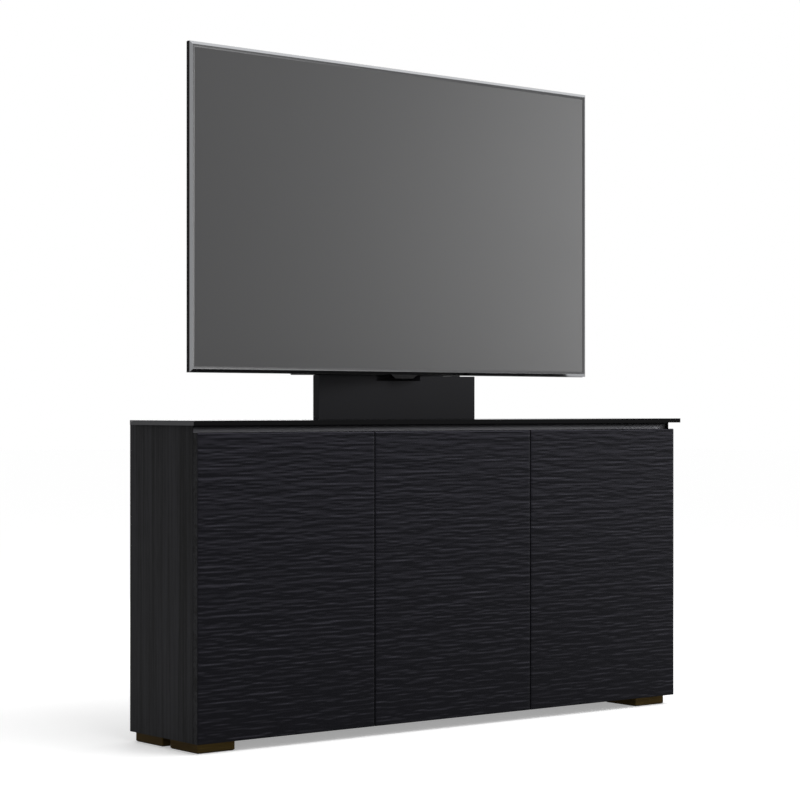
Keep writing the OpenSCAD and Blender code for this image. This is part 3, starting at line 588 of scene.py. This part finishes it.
@dataclass(frozen=True)
class PowderCoat(Finish):
    """Folded or welded steel with a baked powder coat of fine texture.

    The baked grains leave an even orange peel that breaks up highlights. They are drawn a little
    coarse, so that they show.

    Args:
        grain_mm: Size of the baked grains.
        cloud_mm: Size of the faint clouds of duller coat.
        sheen: Specular level of the coat.
    """

    grain_mm: float = 1.4
    cloud_mm: float = 142.9
    sheen: float = 0.25

    def shade(self, tree: bpy.types.NodeTree, surface: bpy.types.Node) -> None:
        """Sets the grain of the baked powder, under faint clouds.

        Args:
            tree: The material's node tree.
            surface: The shader that the nodes end in.
        """
        grains = self.pattern(tree, even(self.grain_mm), detail=2.0)
        clouds = self.pattern(tree, even(self.cloud_mm))
        self.roughen(tree, surface, clouds, low=-0.06, high=0.06)
        surface.inputs["Specular IOR Level"].default_value = self.sheen
        self.relief(tree, surface, grains, depth_mm=0.1, strength=0.6)


@dataclass(frozen=True)
class MouldedPlastic(Finish):
    """ABS, injection moulded in a spark-eroded tool.

    The tool's fine grit gives it an even dull sheen, with no grain or direction. The grit is drawn
    a little coarse, so that it shows.

    Args:
        grit_mm: Size of the tool's grit.
        grit_depth_mm: Depth of the tool's grit.
        cloud_mm: Size of the faint clouds of duller skin.
        sheen: Specular level of the plastic.
    """

    grit_mm: float = 0.9
    grit_depth_mm: float = 0.06
    cloud_mm: float = 200.0
    sheen: float = 0.35

    def shade(self, tree: bpy.types.NodeTree, surface: bpy.types.Node) -> None:
        """Sets the grit of the tool, under faint clouds.

        Args:
            tree: The material's node tree.
            surface: The shader that the nodes end in.
        """
        grit = self.pattern(tree, even(self.grit_mm), detail=2.0)
        clouds = self.pattern(tree, even(self.cloud_mm))
        self.roughen(tree, surface, clouds, low=-0.05, high=0.05)
        surface.inputs["Specular IOR Level"].default_value = self.sheen
        self.relief(tree, surface, grit, depth_mm=self.grit_depth_mm, strength=0.5)


@dataclass(frozen=True)
class ZincPlate(Finish):
    """Steel, pressed or headed, with bright zinc plate.

    The plate is silvery with a mottle of slightly duller crystals.

    Args:
        crystal_mm: Size of the crystals.
        dull: Colour of the duller crystals, as sRGB hex.
    """

    crystal_mm: float = 3.0
    dull: str = "#8b8e92"

    def shade(self, tree: bpy.types.NodeTree, surface: bpy.types.Node) -> None:
        """Mottles the plate.

        Args:
            tree: The material's node tree.
            surface: The shader that the nodes end in.
        """
        crystals = self.pattern(tree, even(self.crystal_mm))
        self.tint(tree, surface, crystals, self.dull, self.colour)
        surface.inputs["Metallic"].default_value = 1.0
        self.roughen(tree, surface, crystals, low=0.12, high=0.0)


@dataclass(frozen=True)
class ClearPolyurethane(Finish):
    """Soft polyurethane, cast clear.

    It lets light through with a milky haze.

    Args:
        haze_mm: Size of the spots of haze.
        clear: Share of the light that goes through.
    """

    haze_mm: float = 2.5
    clear: float = 0.7

    def shade(self, tree: bpy.types.NodeTree, surface: bpy.types.Node) -> None:
        """Makes the pad hazy and partly clear.

        Args:
            tree: The material's node tree.
            surface: The shader that the nodes end in.
        """
        haze = self.pattern(tree, even(self.haze_mm), detail=2.0)
        self.roughen(tree, surface, haze, low=0.0, high=0.15)
        surface.inputs["Transmission Weight"].default_value = self.clear
        surface.inputs["IOR"].default_value = 1.5


@dataclass(frozen=True)
class DisplayGlass(Finish):
    """Display glass with an etched anti-glare face over an unlit grey panel.

    The etch spreads reflections into a soft even grey with no sharp image in it. It is drawn a
    little coarse, so that it shows.

    Args:
        etch_mm: Size of the etched pits.
        cloud_mm: Size of the faint clouds of softer etch.
        sheen: Specular level of the glass.
    """

    etch_mm: float = 0.6
    cloud_mm: float = 500.0
    sheen: float = 0.4

    def shade(self, tree: bpy.types.NodeTree, surface: bpy.types.Node) -> None:
        """Etches the face, under faint clouds.

        Args:
            tree: The material's node tree.
            surface: The shader that the nodes end in.
        """
        etch = self.pattern(tree, even(self.etch_mm), detail=1.0)
        clouds = self.pattern(tree, even(self.cloud_mm), detail=2.0)
        self.roughen(tree, surface, clouds, low=-0.02, high=0.02)
        surface.inputs["IOR"].default_value = 1.5
        surface.inputs["Specular IOR Level"].default_value = self.sheen
        self.relief(tree, surface, etch, depth_mm=0.01, strength=0.3)


UPRIGHT_VENEER = StainedVeneer("stained_veneer_upright", "#161618", 0.5)
LEVEL_VENEER = StainedVeneer("stained_veneer_level", "#161618", 0.5, grain=Along.X)
CARVED_WOOD = CarvedStain("carved_stained_wood", "#161618", 0.45)
TOP_GLASS = BackPaintedGlass("back_painted_glass", "#050506", 0.06)
GRIP_ALUMINIUM = AluminiumWithPaintedShade("aluminium_with_painted_shade", "#7c7c80", 0.6)
TRIM_ALUMINIUM = ChamferedAluminium("chamfered_aluminium", "#0c0c0d", 0.12)
FOOT_BRONZE = BrushedBronze("brushed_bronze", "#2a2110", 0.5)
MOUNT_COAT = PowderCoat("powder_coated_steel", "#242426", 0.6, sheen=0.03)
POST_COAT = PowderCoat("powder_coated_tube", "#2c2c2e", 0.45, sheen=0.2)
BLACK_ABS = MouldedPlastic("moulded_abs", "#121213", 0.5, sheen=0.12)
POD_ABS = MouldedPlastic("moulded_abs_black", "#040405", 0.4, sheen=0.05)
BEZEL_ABS = MouldedPlastic("moulded_abs_satin", "#2c2c2e", 0.3, sheen=0.4, grit_depth_mm=0.02)
BRIGHT_ZINC = ZincPlate("zinc_plated_steel", "#b4b6ba", 0.3)
CLEAR_PAD = ClearPolyurethane("clear_polyurethane", "#d8dde0", 0.2)
SCREEN_GLASS = DisplayGlass("display_glass", "#282829", 0.4)


def soften(part: bpy.types.Object, radius_mm: float) -> None:
    """Rounds the sharp edges of a part a little, as sanding or a deburring tool does.

    Args:
        part: The part's object.
        radius_mm: Width of the rounded edge.
    """
    weld = part.modifiers.new("weld", "WELD")
    weld.merge_threshold = WELD_DISTANCE
    bevel = part.modifiers.new("soft_edges", "BEVEL")
    bevel.width = radius_mm * MM
    bevel.segments = SOFT_SEGMENTS
    bevel.limit_method = "ANGLE"
    bevel.angle_limit = SHARP_ANGLE
    part.modifiers.new("even_shading", "WEIGHTED_NORMAL")


def dress(nodes: Nodes, names: list[str], finish: Finish, soft_mm: float = 0.0) -> None:
    """Gives CAD nodes a finish.

    Args:
        nodes: The CAD nodes by name.
        names: The nodes that take the finish.
        finish: The finish.
        soft_mm: Width that the sharp edges are rounded by, or 0 to leave them.
    """
    for name in names:
        part = nodes[name]
        part.data.materials.clear()
        part.data.materials.append(finish.material())
        if soft_mm:
            soften(part, soft_mm)
    LOG.info("%s: %s", finish.name, ", ".join(names))


def new_piece(
    name: str, points: np.ndarray, faces: list[tuple[int, ...]], finish: Finish, body: str
) -> bpy.types.Object:
    """Makes a mesh piece that rides on a body.

    Args:
        name: Name of the piece.
        points: Corner points, one row each, in metres.
        faces: Corner numbers of each face.
        finish: The finish of the piece.
        body: The CAD body that carries the piece.

    Returns:
        The new object.
    """
    mesh = bpy.data.meshes.new(name)
    mesh.from_pydata(points.tolist(), [], faces)
    mesh.validate()
    mesh.materials.append(finish.material())
    piece = bpy.data.objects.new(name, mesh)
    bpy.context.scene.collection.objects.link(piece)
    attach(piece, body)
    LOG.info("%s rides on %s", name, body)
    return piece


@dataclass
class Carcass:
    """The panels, shelves and back of the cabinet.

    Args:
        nodes: The CAD nodes by name.
        edge_mm: Width of the sanded edges.
        liner_edge_mm: Width of the moulded edges of the port liners.
    """

    nodes: Nodes
    edge_mm: float = 0.6
    liner_edge_mm: float = 0.3

    def build(self) -> None:
        """Dresses the panels, each with the grain along its length."""
        upright = ["left_side_panel", "right_side_panel", "left_divider", "right_divider"]
        level = ["bottom_panel", "sub_top_panel", "left_shelf", "centre_shelf", "right_shelf"]
        backs = ["left_back_panel", "centre_back_panel", "right_back_panel"]
        rails = ["upper_mount_rail", "lower_mount_rail"]
        dress(self.nodes, upright, UPRIGHT_VENEER, self.edge_mm)
        dress(self.nodes, level + rails, LEVEL_VENEER, self.edge_mm)
        dress(self.nodes, backs, LEVEL_VENEER)
        dress(self.nodes, ["port_liners"], BLACK_ABS, self.liner_edge_mm)
        dress(self.nodes, ["shelf_pins"], BRIGHT_ZINC)


@dataclass
class GlassTop:
    """The black glass and the clear pads that it lies on.

    Args:
        nodes: The CAD nodes by name.
        arris_mm: Width of the ground arris along the edges.
    """

    nodes: Nodes
    arris_mm: float = 0.8

    def build(self) -> None:
        """Dresses the glass and its pads."""
        dress(self.nodes, ["glass_top"], TOP_GLASS, self.arris_mm)
        dress(self.nodes, ["glass_pads", "door_bumpers"], CLEAR_PAD)


def eased(share: np.ndarray) -> np.ndarray:
    """Gives a share from 0 to 1 a soft start and end."""
    return share * share * (3 - 2 * share)


@dataclass
class Streaks:
    """Smooth random streaks that run level, the same at each run.

    Args:
        seed: Seed of the random numbers.
        length_mm: Typical length of a streak.
        height_mm: Height of one row of streaks.
        rows: Number of different rows.
        cells: Number of different values in a row.
    """

    seed: int
    length_mm: float
    height_mm: float
    rows: int = 1024
    cells: int = 256
    values: np.ndarray = field(init=False)
    shifts: np.ndarray = field(init=False)

    def __post_init__(self) -> None:
        """Draws the values, and shifts each row by its own amount."""
        draw = np.random.default_rng(self.seed)
        self.values = draw.uniform(0, 1, (self.rows, self.cells))
        self.shifts = draw.uniform(0, self.cells, self.rows)

    def row(self, x: np.ndarray, number: np.ndarray) -> np.ndarray:
        """Gives the values along a row.

        Args:
            x: Places across, in metres.
            number: Number of the row at each place.

        Returns:
            Values from 0 to 1.
        """
        along = x / (self.length_mm * MM) + self.shifts[number]
        cell = np.floor(along).astype(int)
        start = self.values[number, cell % self.cells]
        end = self.values[number, (cell + 1) % self.cells]
        return start + (end - start) * eased(along - cell)

    def at(self, x: np.ndarray, z: np.ndarray) -> np.ndarray:
        """Gives the height of the streaks.

        Args:
            x: Places across, in metres.
            z: Places up, in metres.

        Returns:
            Heights from 0 to 1.
        """
        up = z / (self.height_mm * MM) + self.rows / 2
        number = np.floor(up).astype(int)
        low = self.row(x, number % self.rows)
        high = self.row(x, (number + 1) % self.rows)
        return low + (high - low) * eased(up - number)


@dataclass
class CarvedDoors:
    """The three doors, each with a skin that is carved into short level ripples.

    Args:
        nodes: The CAD nodes by name.
        seeds: Seeds of the waves, the ripples and the tool marks.
        wave_mm: Length and height of the slow waves that the ripples follow.
        ripple_mm: Length and height of the main ripples.
        nick_mm: Length and height of the finer tool marks.
        sway_mm: How far the ripples wander up and down.
        depth_mm: Height of a crest over a hollow.
        skin_mm: Least thickness of the carved skin in front of the slab.
        root_mm: How deep the skin is let into the slab.
        margin_mm: Width of the plain border at the sides of a door.
        rise_share: Share of the plain border over which the skin rises from the slab.
        end_mm: Height over which the carving runs out at the lower and upper end.
        head_mm: Height of the slab's upper edge that the skin leaves free.
        step_mm: Size of a mesh cell across and up.
        slab_edge_mm: Width of the sanded edges of the slabs.
        hinge_edge_mm: Width of the rounded edges of the hinges.
    """

    # Places of the mesh columns across the plain border, as shares of its width
    RIM = np.array([0, 0.15, 0.35, 0.6, 1.0])
    SIDES = ("left", "centre", "right")

    nodes: Nodes
    seeds: tuple[int, int, int] = (5, 3, 7)
    wave_mm: tuple[float, float] = (240.0, 55.0)
    ripple_mm: tuple[float, float] = (110.0, 6.5)
    nick_mm: tuple[float, float] = (34.0, 4.6)
    sway_mm: float = 0.4
    depth_mm: float = 1.4
    skin_mm: float = 0.4
    root_mm: float = 0.3
    margin_mm: float = 3.0
    rise_share: float = 0.2
    end_mm: float = 2.0
    head_mm: float = 1.5
    step_mm: tuple[float, float] = (6.0, 1.0)
    slab_edge_mm: float = 0.5
    hinge_edge_mm: float = 0.3

    def heights(self, x: np.ndarray, z: np.ndarray) -> np.ndarray:
        """Gives the relief of the carving.

        Args:
            x: Places across, in metres.
            z: Places up, in metres.

        Returns:
            Heights in front of the plain surface, in metres.
        """
        wave_seed, ripple_seed, nick_seed = self.seeds
        swayed = z + (Streaks(wave_seed, *self.wave_mm).at(x, z) - 0.5) * 2 * self.sway_mm * MM
        ripples = Streaks(ripple_seed, *self.ripple_mm).at(x, swayed)
        nicks = Streaks(nick_seed, *self.nick_mm).at(x, swayed)
        return (ripples + nicks) / 2 * self.depth_mm * MM

    def columns(self, left: float, right: float) -> np.ndarray:
        """Gives the mesh columns of a door, closer together across its plain borders.

        Args:
            left: Left edge of the door, in metres.
            right: Right edge of the door, in metres.

        Returns:
            Places across, in metres.
        """
        count = max(2, round((right - left) / (self.step_mm[0] * MM)))
        rim = self.RIM * self.margin_mm * MM
        inner = np.linspace(left + rim[-1], right - rim[-1], count)
        return np.concatenate([left + rim[:-1], inner, right - rim[-2::-1]])

    def front(self, low: Vector, high: Vector) -> np.ndarray:
        """Gives the carved front of a door.

        Args:
            low: Lower corner of the slab's box, in metres.
            high: Upper corner of the slab's box, in metres.

        Returns:
            Points by row, column and axis, in metres.
        """
        top = high.z - self.head_mm * MM
        rows = max(2, round((high.z - low.z) / (self.step_mm[1] * MM)))
        x, z = np.meshgrid(self.columns(low.x, high.x), np.linspace(low.z, top, rows))
        edge = np.minimum(x - low.x, high.x - x) / (self.margin_mm * MM)
        ends = np.minimum(z - low.z, top - z) / (self.end_mm * MM)
        fade = eased(np.clip(edge, 0, 1)) * np.clip(ends, 0, 1)
        skin = self.skin_mm * MM * np.clip(edge / self.rise_share, 0, 1)
        return np.stack([x, low.y - skin - self.heights(x, z) * fade, z], -1)

    @staticmethod
    def shell(front: np.ndarray, rear_y: float) -> tuple[np.ndarray, list[tuple[int, ...]]]:
        """Closes a carved front with thin sides and a flat rear face.

        Args:
            front: Points by row, column and axis, in metres.
            rear_y: Place of the rear face, in metres.

        Returns:
            Corner points, one row each, and the corner numbers of each face.
        """
        tall, wide = front.shape[:2]
        number = np.arange(tall * wide).reshape(tall, wide)
        cells = number[:-1, :-1].ravel().tolist()
        faces = [(k, k + 1, k + 1 + wide, k + wide) for k in cells]
        sides = (number[0], number[1:, -1], number[-1, -2::-1], number[-2:0:-1, 0])
        ring = np.concatenate(sides).tolist()
        rear = {k: tall * wide + i for i, k in enumerate(ring)}
        faces += [(n, k, rear[k], rear[n]) for k, n in zip(ring, ring[1:] + ring[:1])]
        faces.append(tuple(rear.values()))
        points = front.reshape(-1, 3)
        back = points[ring]
        back[:, 1] = rear_y
        return np.concatenate([points, back]), faces

    def skin(self, door: str, body: str) -> bpy.types.Object:
        """Makes the carved skin of one door, as a closed thin shell.

        Args:
            door: The door's node.
            body: The body that the door belongs to.

        Returns:
            The skin's object.
        """
        low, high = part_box(door)
        points, faces = self.shell(self.front(low, high), low.y + self.root_mm * MM)
        # The door's own height span sets where its painted shade towards the floor begins and ends
        finish = replace(CARVED_WOOD, foot_z=low.z, head_z=high.z)
        piece = new_piece(f"{door}_carving", points, faces, finish, body)
        for face in piece.data.polygons:
            face.use_smooth = len(face.vertices) == 4
        return piece

    def build(self) -> None:
        """Dresses the slabs and the hinges, and makes the carved skins."""
        hinges = [f"{side}_hinge_cups" for side in self.SIDES] + ["hinge_arms"]
        slabs = [f"{side}_door" for side in self.SIDES]
        dress(self.nodes, slabs, LEVEL_VENEER, self.slab_edge_mm)
        dress(self.nodes, hinges, BRIGHT_ZINC, self.hinge_edge_mm)
        for side in self.SIDES:
            self.skin(f"{side}_door", f"door_{side}")


@dataclass
class RailAndFeet:
    """The finger rail behind the doors' upper edge, and the feet.

    Args:
        nodes: The CAD nodes by name.
        rail_edge_mm: Width of the broken edges of the rail.
        shaded_lip_mm: Height of the painted shade on the rail's lip under the glass.
        foot_edge_mm: Width of the broken edges of the feet.
    """

    nodes: Nodes
    rail_edge_mm: float = 0.2
    shaded_lip_mm: float = 1.6
    foot_edge_mm: float = 0.8

    def build(self) -> None:
        """Dresses the rail, the feet, their pads and screws."""
        feet = [f"{end}_{side}_foot" for end in ("front", "rear") for side in ("left", "right")]
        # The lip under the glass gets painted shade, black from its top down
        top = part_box("grip_rail")[1].z
        rail = replace(GRIP_ALUMINIUM, shade_z=top - self.shaded_lip_mm * MM)
        dress(self.nodes, ["grip_rail"], rail, self.rail_edge_mm)
        dress(self.nodes, feet, FOOT_BRONZE, self.foot_edge_mm)
        dress(self.nodes, ["foot_pads"], BLACK_ABS)
        dress(self.nodes, ["foot_screws"], BRIGHT_ZINC)


@dataclass
class PostMount:
    """The posts, the cover on the glass, and the head that the screen turns and tilts on.

    Args:
        nodes: The CAD nodes by name.
        fold_mm: Outer radius of a fold in the sheet.
        tube_mm: Outer radius of a corner of the posts.
        moulded_mm: Radius of the moulded edges of caps and knobs.
        bolt_mm: Width of the rounded edges of the bolts.
    """

    nodes: Nodes
    fold_mm: float = 0.8
    tube_mm: float = 1.5
    moulded_mm: float = 0.6
    bolt_mm: float = 0.4

    def build(self) -> None:
        """Dresses the steel, the plastic and the fasteners of the mount."""
        cover = ["mount_cover", "duct_back", "cover_brackets"]
        head = ["cross_plate", "pivot_bracket", "swivel_beam", "left_arm", "right_arm"]
        moulded = ["post_caps", "left_tilt_knob", "right_tilt_knob"]
        bolts = ["post_bolts", "cross_plate_bolts", "pivot_pin", "arm_bolts"]
        dress(self.nodes, cover, MOUNT_COAT, self.fold_mm)
        dress(self.nodes, head, POST_COAT, self.fold_mm)
        dress(self.nodes, ["left_post", "right_post"], POST_COAT, self.tube_mm)
        dress(self.nodes, moulded, BLACK_ABS, self.moulded_mm)
        dress(self.nodes, bolts, BRIGHT_ZINC, self.bolt_mm)
        dress(self.nodes, ["pivot_washers", "arm_washers"], CLEAR_PAD)


@dataclass
class Screen:
    """The flat screen with its frames, rear cover, sockets and sensor pod.

    Args:
        nodes: The CAD nodes by name.
        trim_edge_mm: Width of the broken edges of the bright frame.
        bezel_edge_mm: Width of the rounded edges of the black frame.
        cover_edge_mm: Width of the moulded edges of the rear cover and the pod.
        key_edge_mm: Width of the rounded edges of the power key.
    """

    nodes: Nodes
    trim_edge_mm: float = 0.3
    bezel_edge_mm: float = 0.2
    cover_edge_mm: float = 0.5
    key_edge_mm: float = 0.3

    def front(self) -> Triple:
        """Gives the way that the screen faces, from the largest face of its glass.

        Returns:
            A line of length 1 that points out of the glass.
        """
        faces = self.nodes["screen_panel"].data.polygons
        largest = max(faces, key=lambda face: face.area * (face.normal.y < 0))
        return tuple(largest.normal)

    def build(self) -> None:
        """Dresses the layers of the screen."""
        trim = replace(TRIM_ALUMINIUM, front=self.front())
        dress(self.nodes, ["screen_trim"], trim, self.trim_edge_mm)
        dress(self.nodes, ["screen_bezel"], BEZEL_ABS, self.bezel_edge_mm)
        dress(self.nodes, ["screen_panel"], SCREEN_GLASS)
        dress(self.nodes, ["screen_chassis", "socket_block"], BLACK_ABS)
        dress(self.nodes, ["screen_rear_cover"], BLACK_ABS, self.cover_edge_mm)
        dress(self.nodes, ["sensor_pod"], POD_ABS, self.cover_edge_mm)
        dress(self.nodes, ["power_key"], POD_ABS, self.key_edge_mm)


@dataclass(frozen=True)
class Lamp:
    """A soft lamp that faces the middle of the object.

    Args:
        name: Name of the lamp.
        place: Place of the lamp, in metres.
        size: Width and height of the lamp, in metres.
        power: Power of the lamp, in watts.
        target: Place that the lamp faces, in metres.
    """

    name: str
    place: Triple
    size: tuple[float, float]
    power: float
    target: Triple = (0.0, 0.0, 0.9)

    def build(self) -> None:
        """Hangs the lamp."""
        data = bpy.data.lights.new(self.name, "AREA")
        data.shape = "RECTANGLE"
        data.size, data.size_y = self.size
        data.energy = self.power
        lamp = bpy.data.objects.new(self.name, data)
        lamp.location = self.place
        aim = Vector(self.target) - Vector(self.place)
        lamp.rotation_euler = aim.to_track_quat("-Z", "Y").to_euler()
        bpy.context.scene.collection.objects.link(lamp)


@dataclass
class Studio:
    """The pale floor, the white surround, the lamps and the camera.

    Args:
        camera_place: Place of the camera, in metres.
        camera_turn: Angle that the camera looks to the right of straight ahead, in degrees.
        focal_px: Focal length in pixels of the square picture.
        picture_px: Side of the square picture, in pixels.
        horizon_px: Height of the horizon in the picture, in pixels from the top.
        sensor_mm: Width of the camera's sensor.
        reach: Distance that the camera sees, in metres.
        floor_radius: Radius of the floor, in metres.
        floor_corners: Number of corners of the round floor.
        floor_colour: Colour of the floor, as sRGB hex.
        floor_lift: Light that the floor adds for the eye, so that it meets the white surround.
        dome: Strength of the surround as a light.
        sun: Strength of the soft sun.
        sun_angle: Width of the sun, in degrees.
        sun_aim: The way that the sun shines.
        lamps: The lamps above the front, behind and at the right.
    """

    camera_place: Triple = (-4.041, -5.058, 0.868)
    camera_turn: float = 38.22
    focal_px: float = 2357.0
    picture_px: float = 800.0
    horizon_px: float = 405.3
    sensor_mm: float = 36.0
    reach: float = 100.0
    floor_radius: float = 40.0
    floor_corners: int = 96
    floor_colour: str = "#f2f2f2"
    floor_lift: float = 0.34
    dome: float = 0.5
    sun: float = 0.9
    sun_angle: float = 60.0
    sun_aim: Triple = (-0.45, 0.35, -0.82)
    lamps: tuple[Lamp, ...] = (
        Lamp("top_softbox", (-0.2, -1.9, 3.2), (2.6, 1.2), 35.0),
        Lamp("back_softbox", (1.6, 3.4, 2.0), (2.0, 1.6), 35.0),
        Lamp("right_softbox", (5.7, -2.5, 1.8), (1.6, 3.0), 130.0),
    )

    def camera(self) -> None:
        """Sets the camera up level, with a small shift for the height of the horizon."""
        data = bpy.data.cameras.new("camera")
        data.sensor_width = self.sensor_mm
        data.lens = self.focal_px / self.picture_px * data.sensor_width
        data.shift_y = (self.horizon_px - self.picture_px / 2) / self.picture_px
        data.clip_end = self.reach
        camera = bpy.data.objects.new("camera", data)
        camera.location = self.camera_place
        camera.rotation_euler = (math.pi / 2, 0, -math.radians(self.camera_turn))
        bpy.context.scene.collection.objects.link(camera)
        bpy.context.scene.camera = camera

    def seen(self, tree: bpy.types.NodeTree, hidden: float, shown: float) -> bpy.types.NodeSocket:
        """Gives a strength that differs for what is seen, mirrored or seen through.

        Args:
            tree: The node tree.
            hidden: Strength as a light.
            shown: Strength for the eye, in mirrors and through glass.

        Returns:
            The socket with the strength.
        """
        path = add_node(tree, "ShaderNodeLightPath")
        either = add_node(
            tree,
            "ShaderNodeMath",
            {0: path.outputs["Is Camera Ray"], 1: path.outputs["Is Glossy Ray"]},
            operation="MAXIMUM",
        )
        every = add_node(
            tree,
            "ShaderNodeMath",
            {0: either.outputs[0], 1: path.outputs["Is Transmission Ray"]},
            operation="MAXIMUM",
        )
        strength = add_node(
            tree,
            "ShaderNodeMapRange",
            {"Value": every.outputs[0], "To Min": hidden, "To Max": shown},
        )
        return strength.outputs["Result"]

    def floor(self) -> None:
        """Makes the floor, which is no part of the object."""
        turns = [2 * math.pi * i / self.floor_corners for i in range(self.floor_corners)]
        radius = self.floor_radius
        ring = [(radius * math.cos(turn), radius * math.sin(turn), 0) for turn in turns]
        mesh = bpy.data.meshes.new("floor")
        mesh.from_pydata(ring, [], [tuple(range(len(ring)))])
        material = bpy.data.materials.new("pale_floor")
        material.use_nodes = True
        tree = material.node_tree
        surface = tree.nodes["Principled BSDF"]
        surface.inputs["Base Color"].default_value = linear(self.floor_colour)
        surface.inputs["Roughness"].default_value = 0.9
        surface.inputs["Specular IOR Level"].default_value = 0.0
        surface.inputs["Emission Color"].default_value = (1.0, 1.0, 1.0, 1.0)
        lift = self.seen(tree, 0.0, self.floor_lift)
        tree.links.new(lift, surface.inputs["Emission Strength"])
        mesh.materials.append(material)
        floor = bpy.data.objects.new("floor", mesh)
        bpy.context.scene.collection.objects.link(floor)

    def surround(self) -> None:
        """Sets up the white surround, which lights the object at a lower strength."""
        world = bpy.data.worlds.new("surround")
        world.use_nodes = True
        sky = world.node_tree.nodes["Background"]
        sky.inputs["Color"].default_value = (1.0, 1.0, 1.0, 1.0)
        strength = self.seen(world.node_tree, self.dome, 1.0)
        world.node_tree.links.new(strength, sky.inputs["Strength"])
        bpy.context.scene.world = world

    def light(self) -> None:
        """Sets up the soft sun and the lamps."""
        data = bpy.data.lights.new("soft_sun", "SUN")
        data.energy = self.sun
        data.angle = math.radians(self.sun_angle)
        sun = bpy.data.objects.new("soft_sun", data)
        sun.rotation_euler = Vector(self.sun_aim).to_track_quat("-Z", "Y").to_euler()
        bpy.context.scene.collection.objects.link(sun)
        for lamp in self.lamps:
            lamp.build()

    def build(self) -> None:
        """Makes the camera, the floor, the surround and the lamps."""
        self.camera()
        self.floor()
        self.surround()
        self.light()
        bpy.context.scene.view_settings.view_transform = "Standard"


def main() -> None:
    """Builds the studio and dresses the object, one sub-assembly after the other."""
    logging.basicConfig(level=logging.INFO, format="%(name)s: %(message)s")
    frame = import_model()
    nodes = frame["nodes"]
    Studio().build()
    for assembly in (Carcass, GlassTop, CarvedDoors, RailAndFeet, PostMount, Screen):
        assembly(nodes).build()


if __name__ == "__main__":
    main()
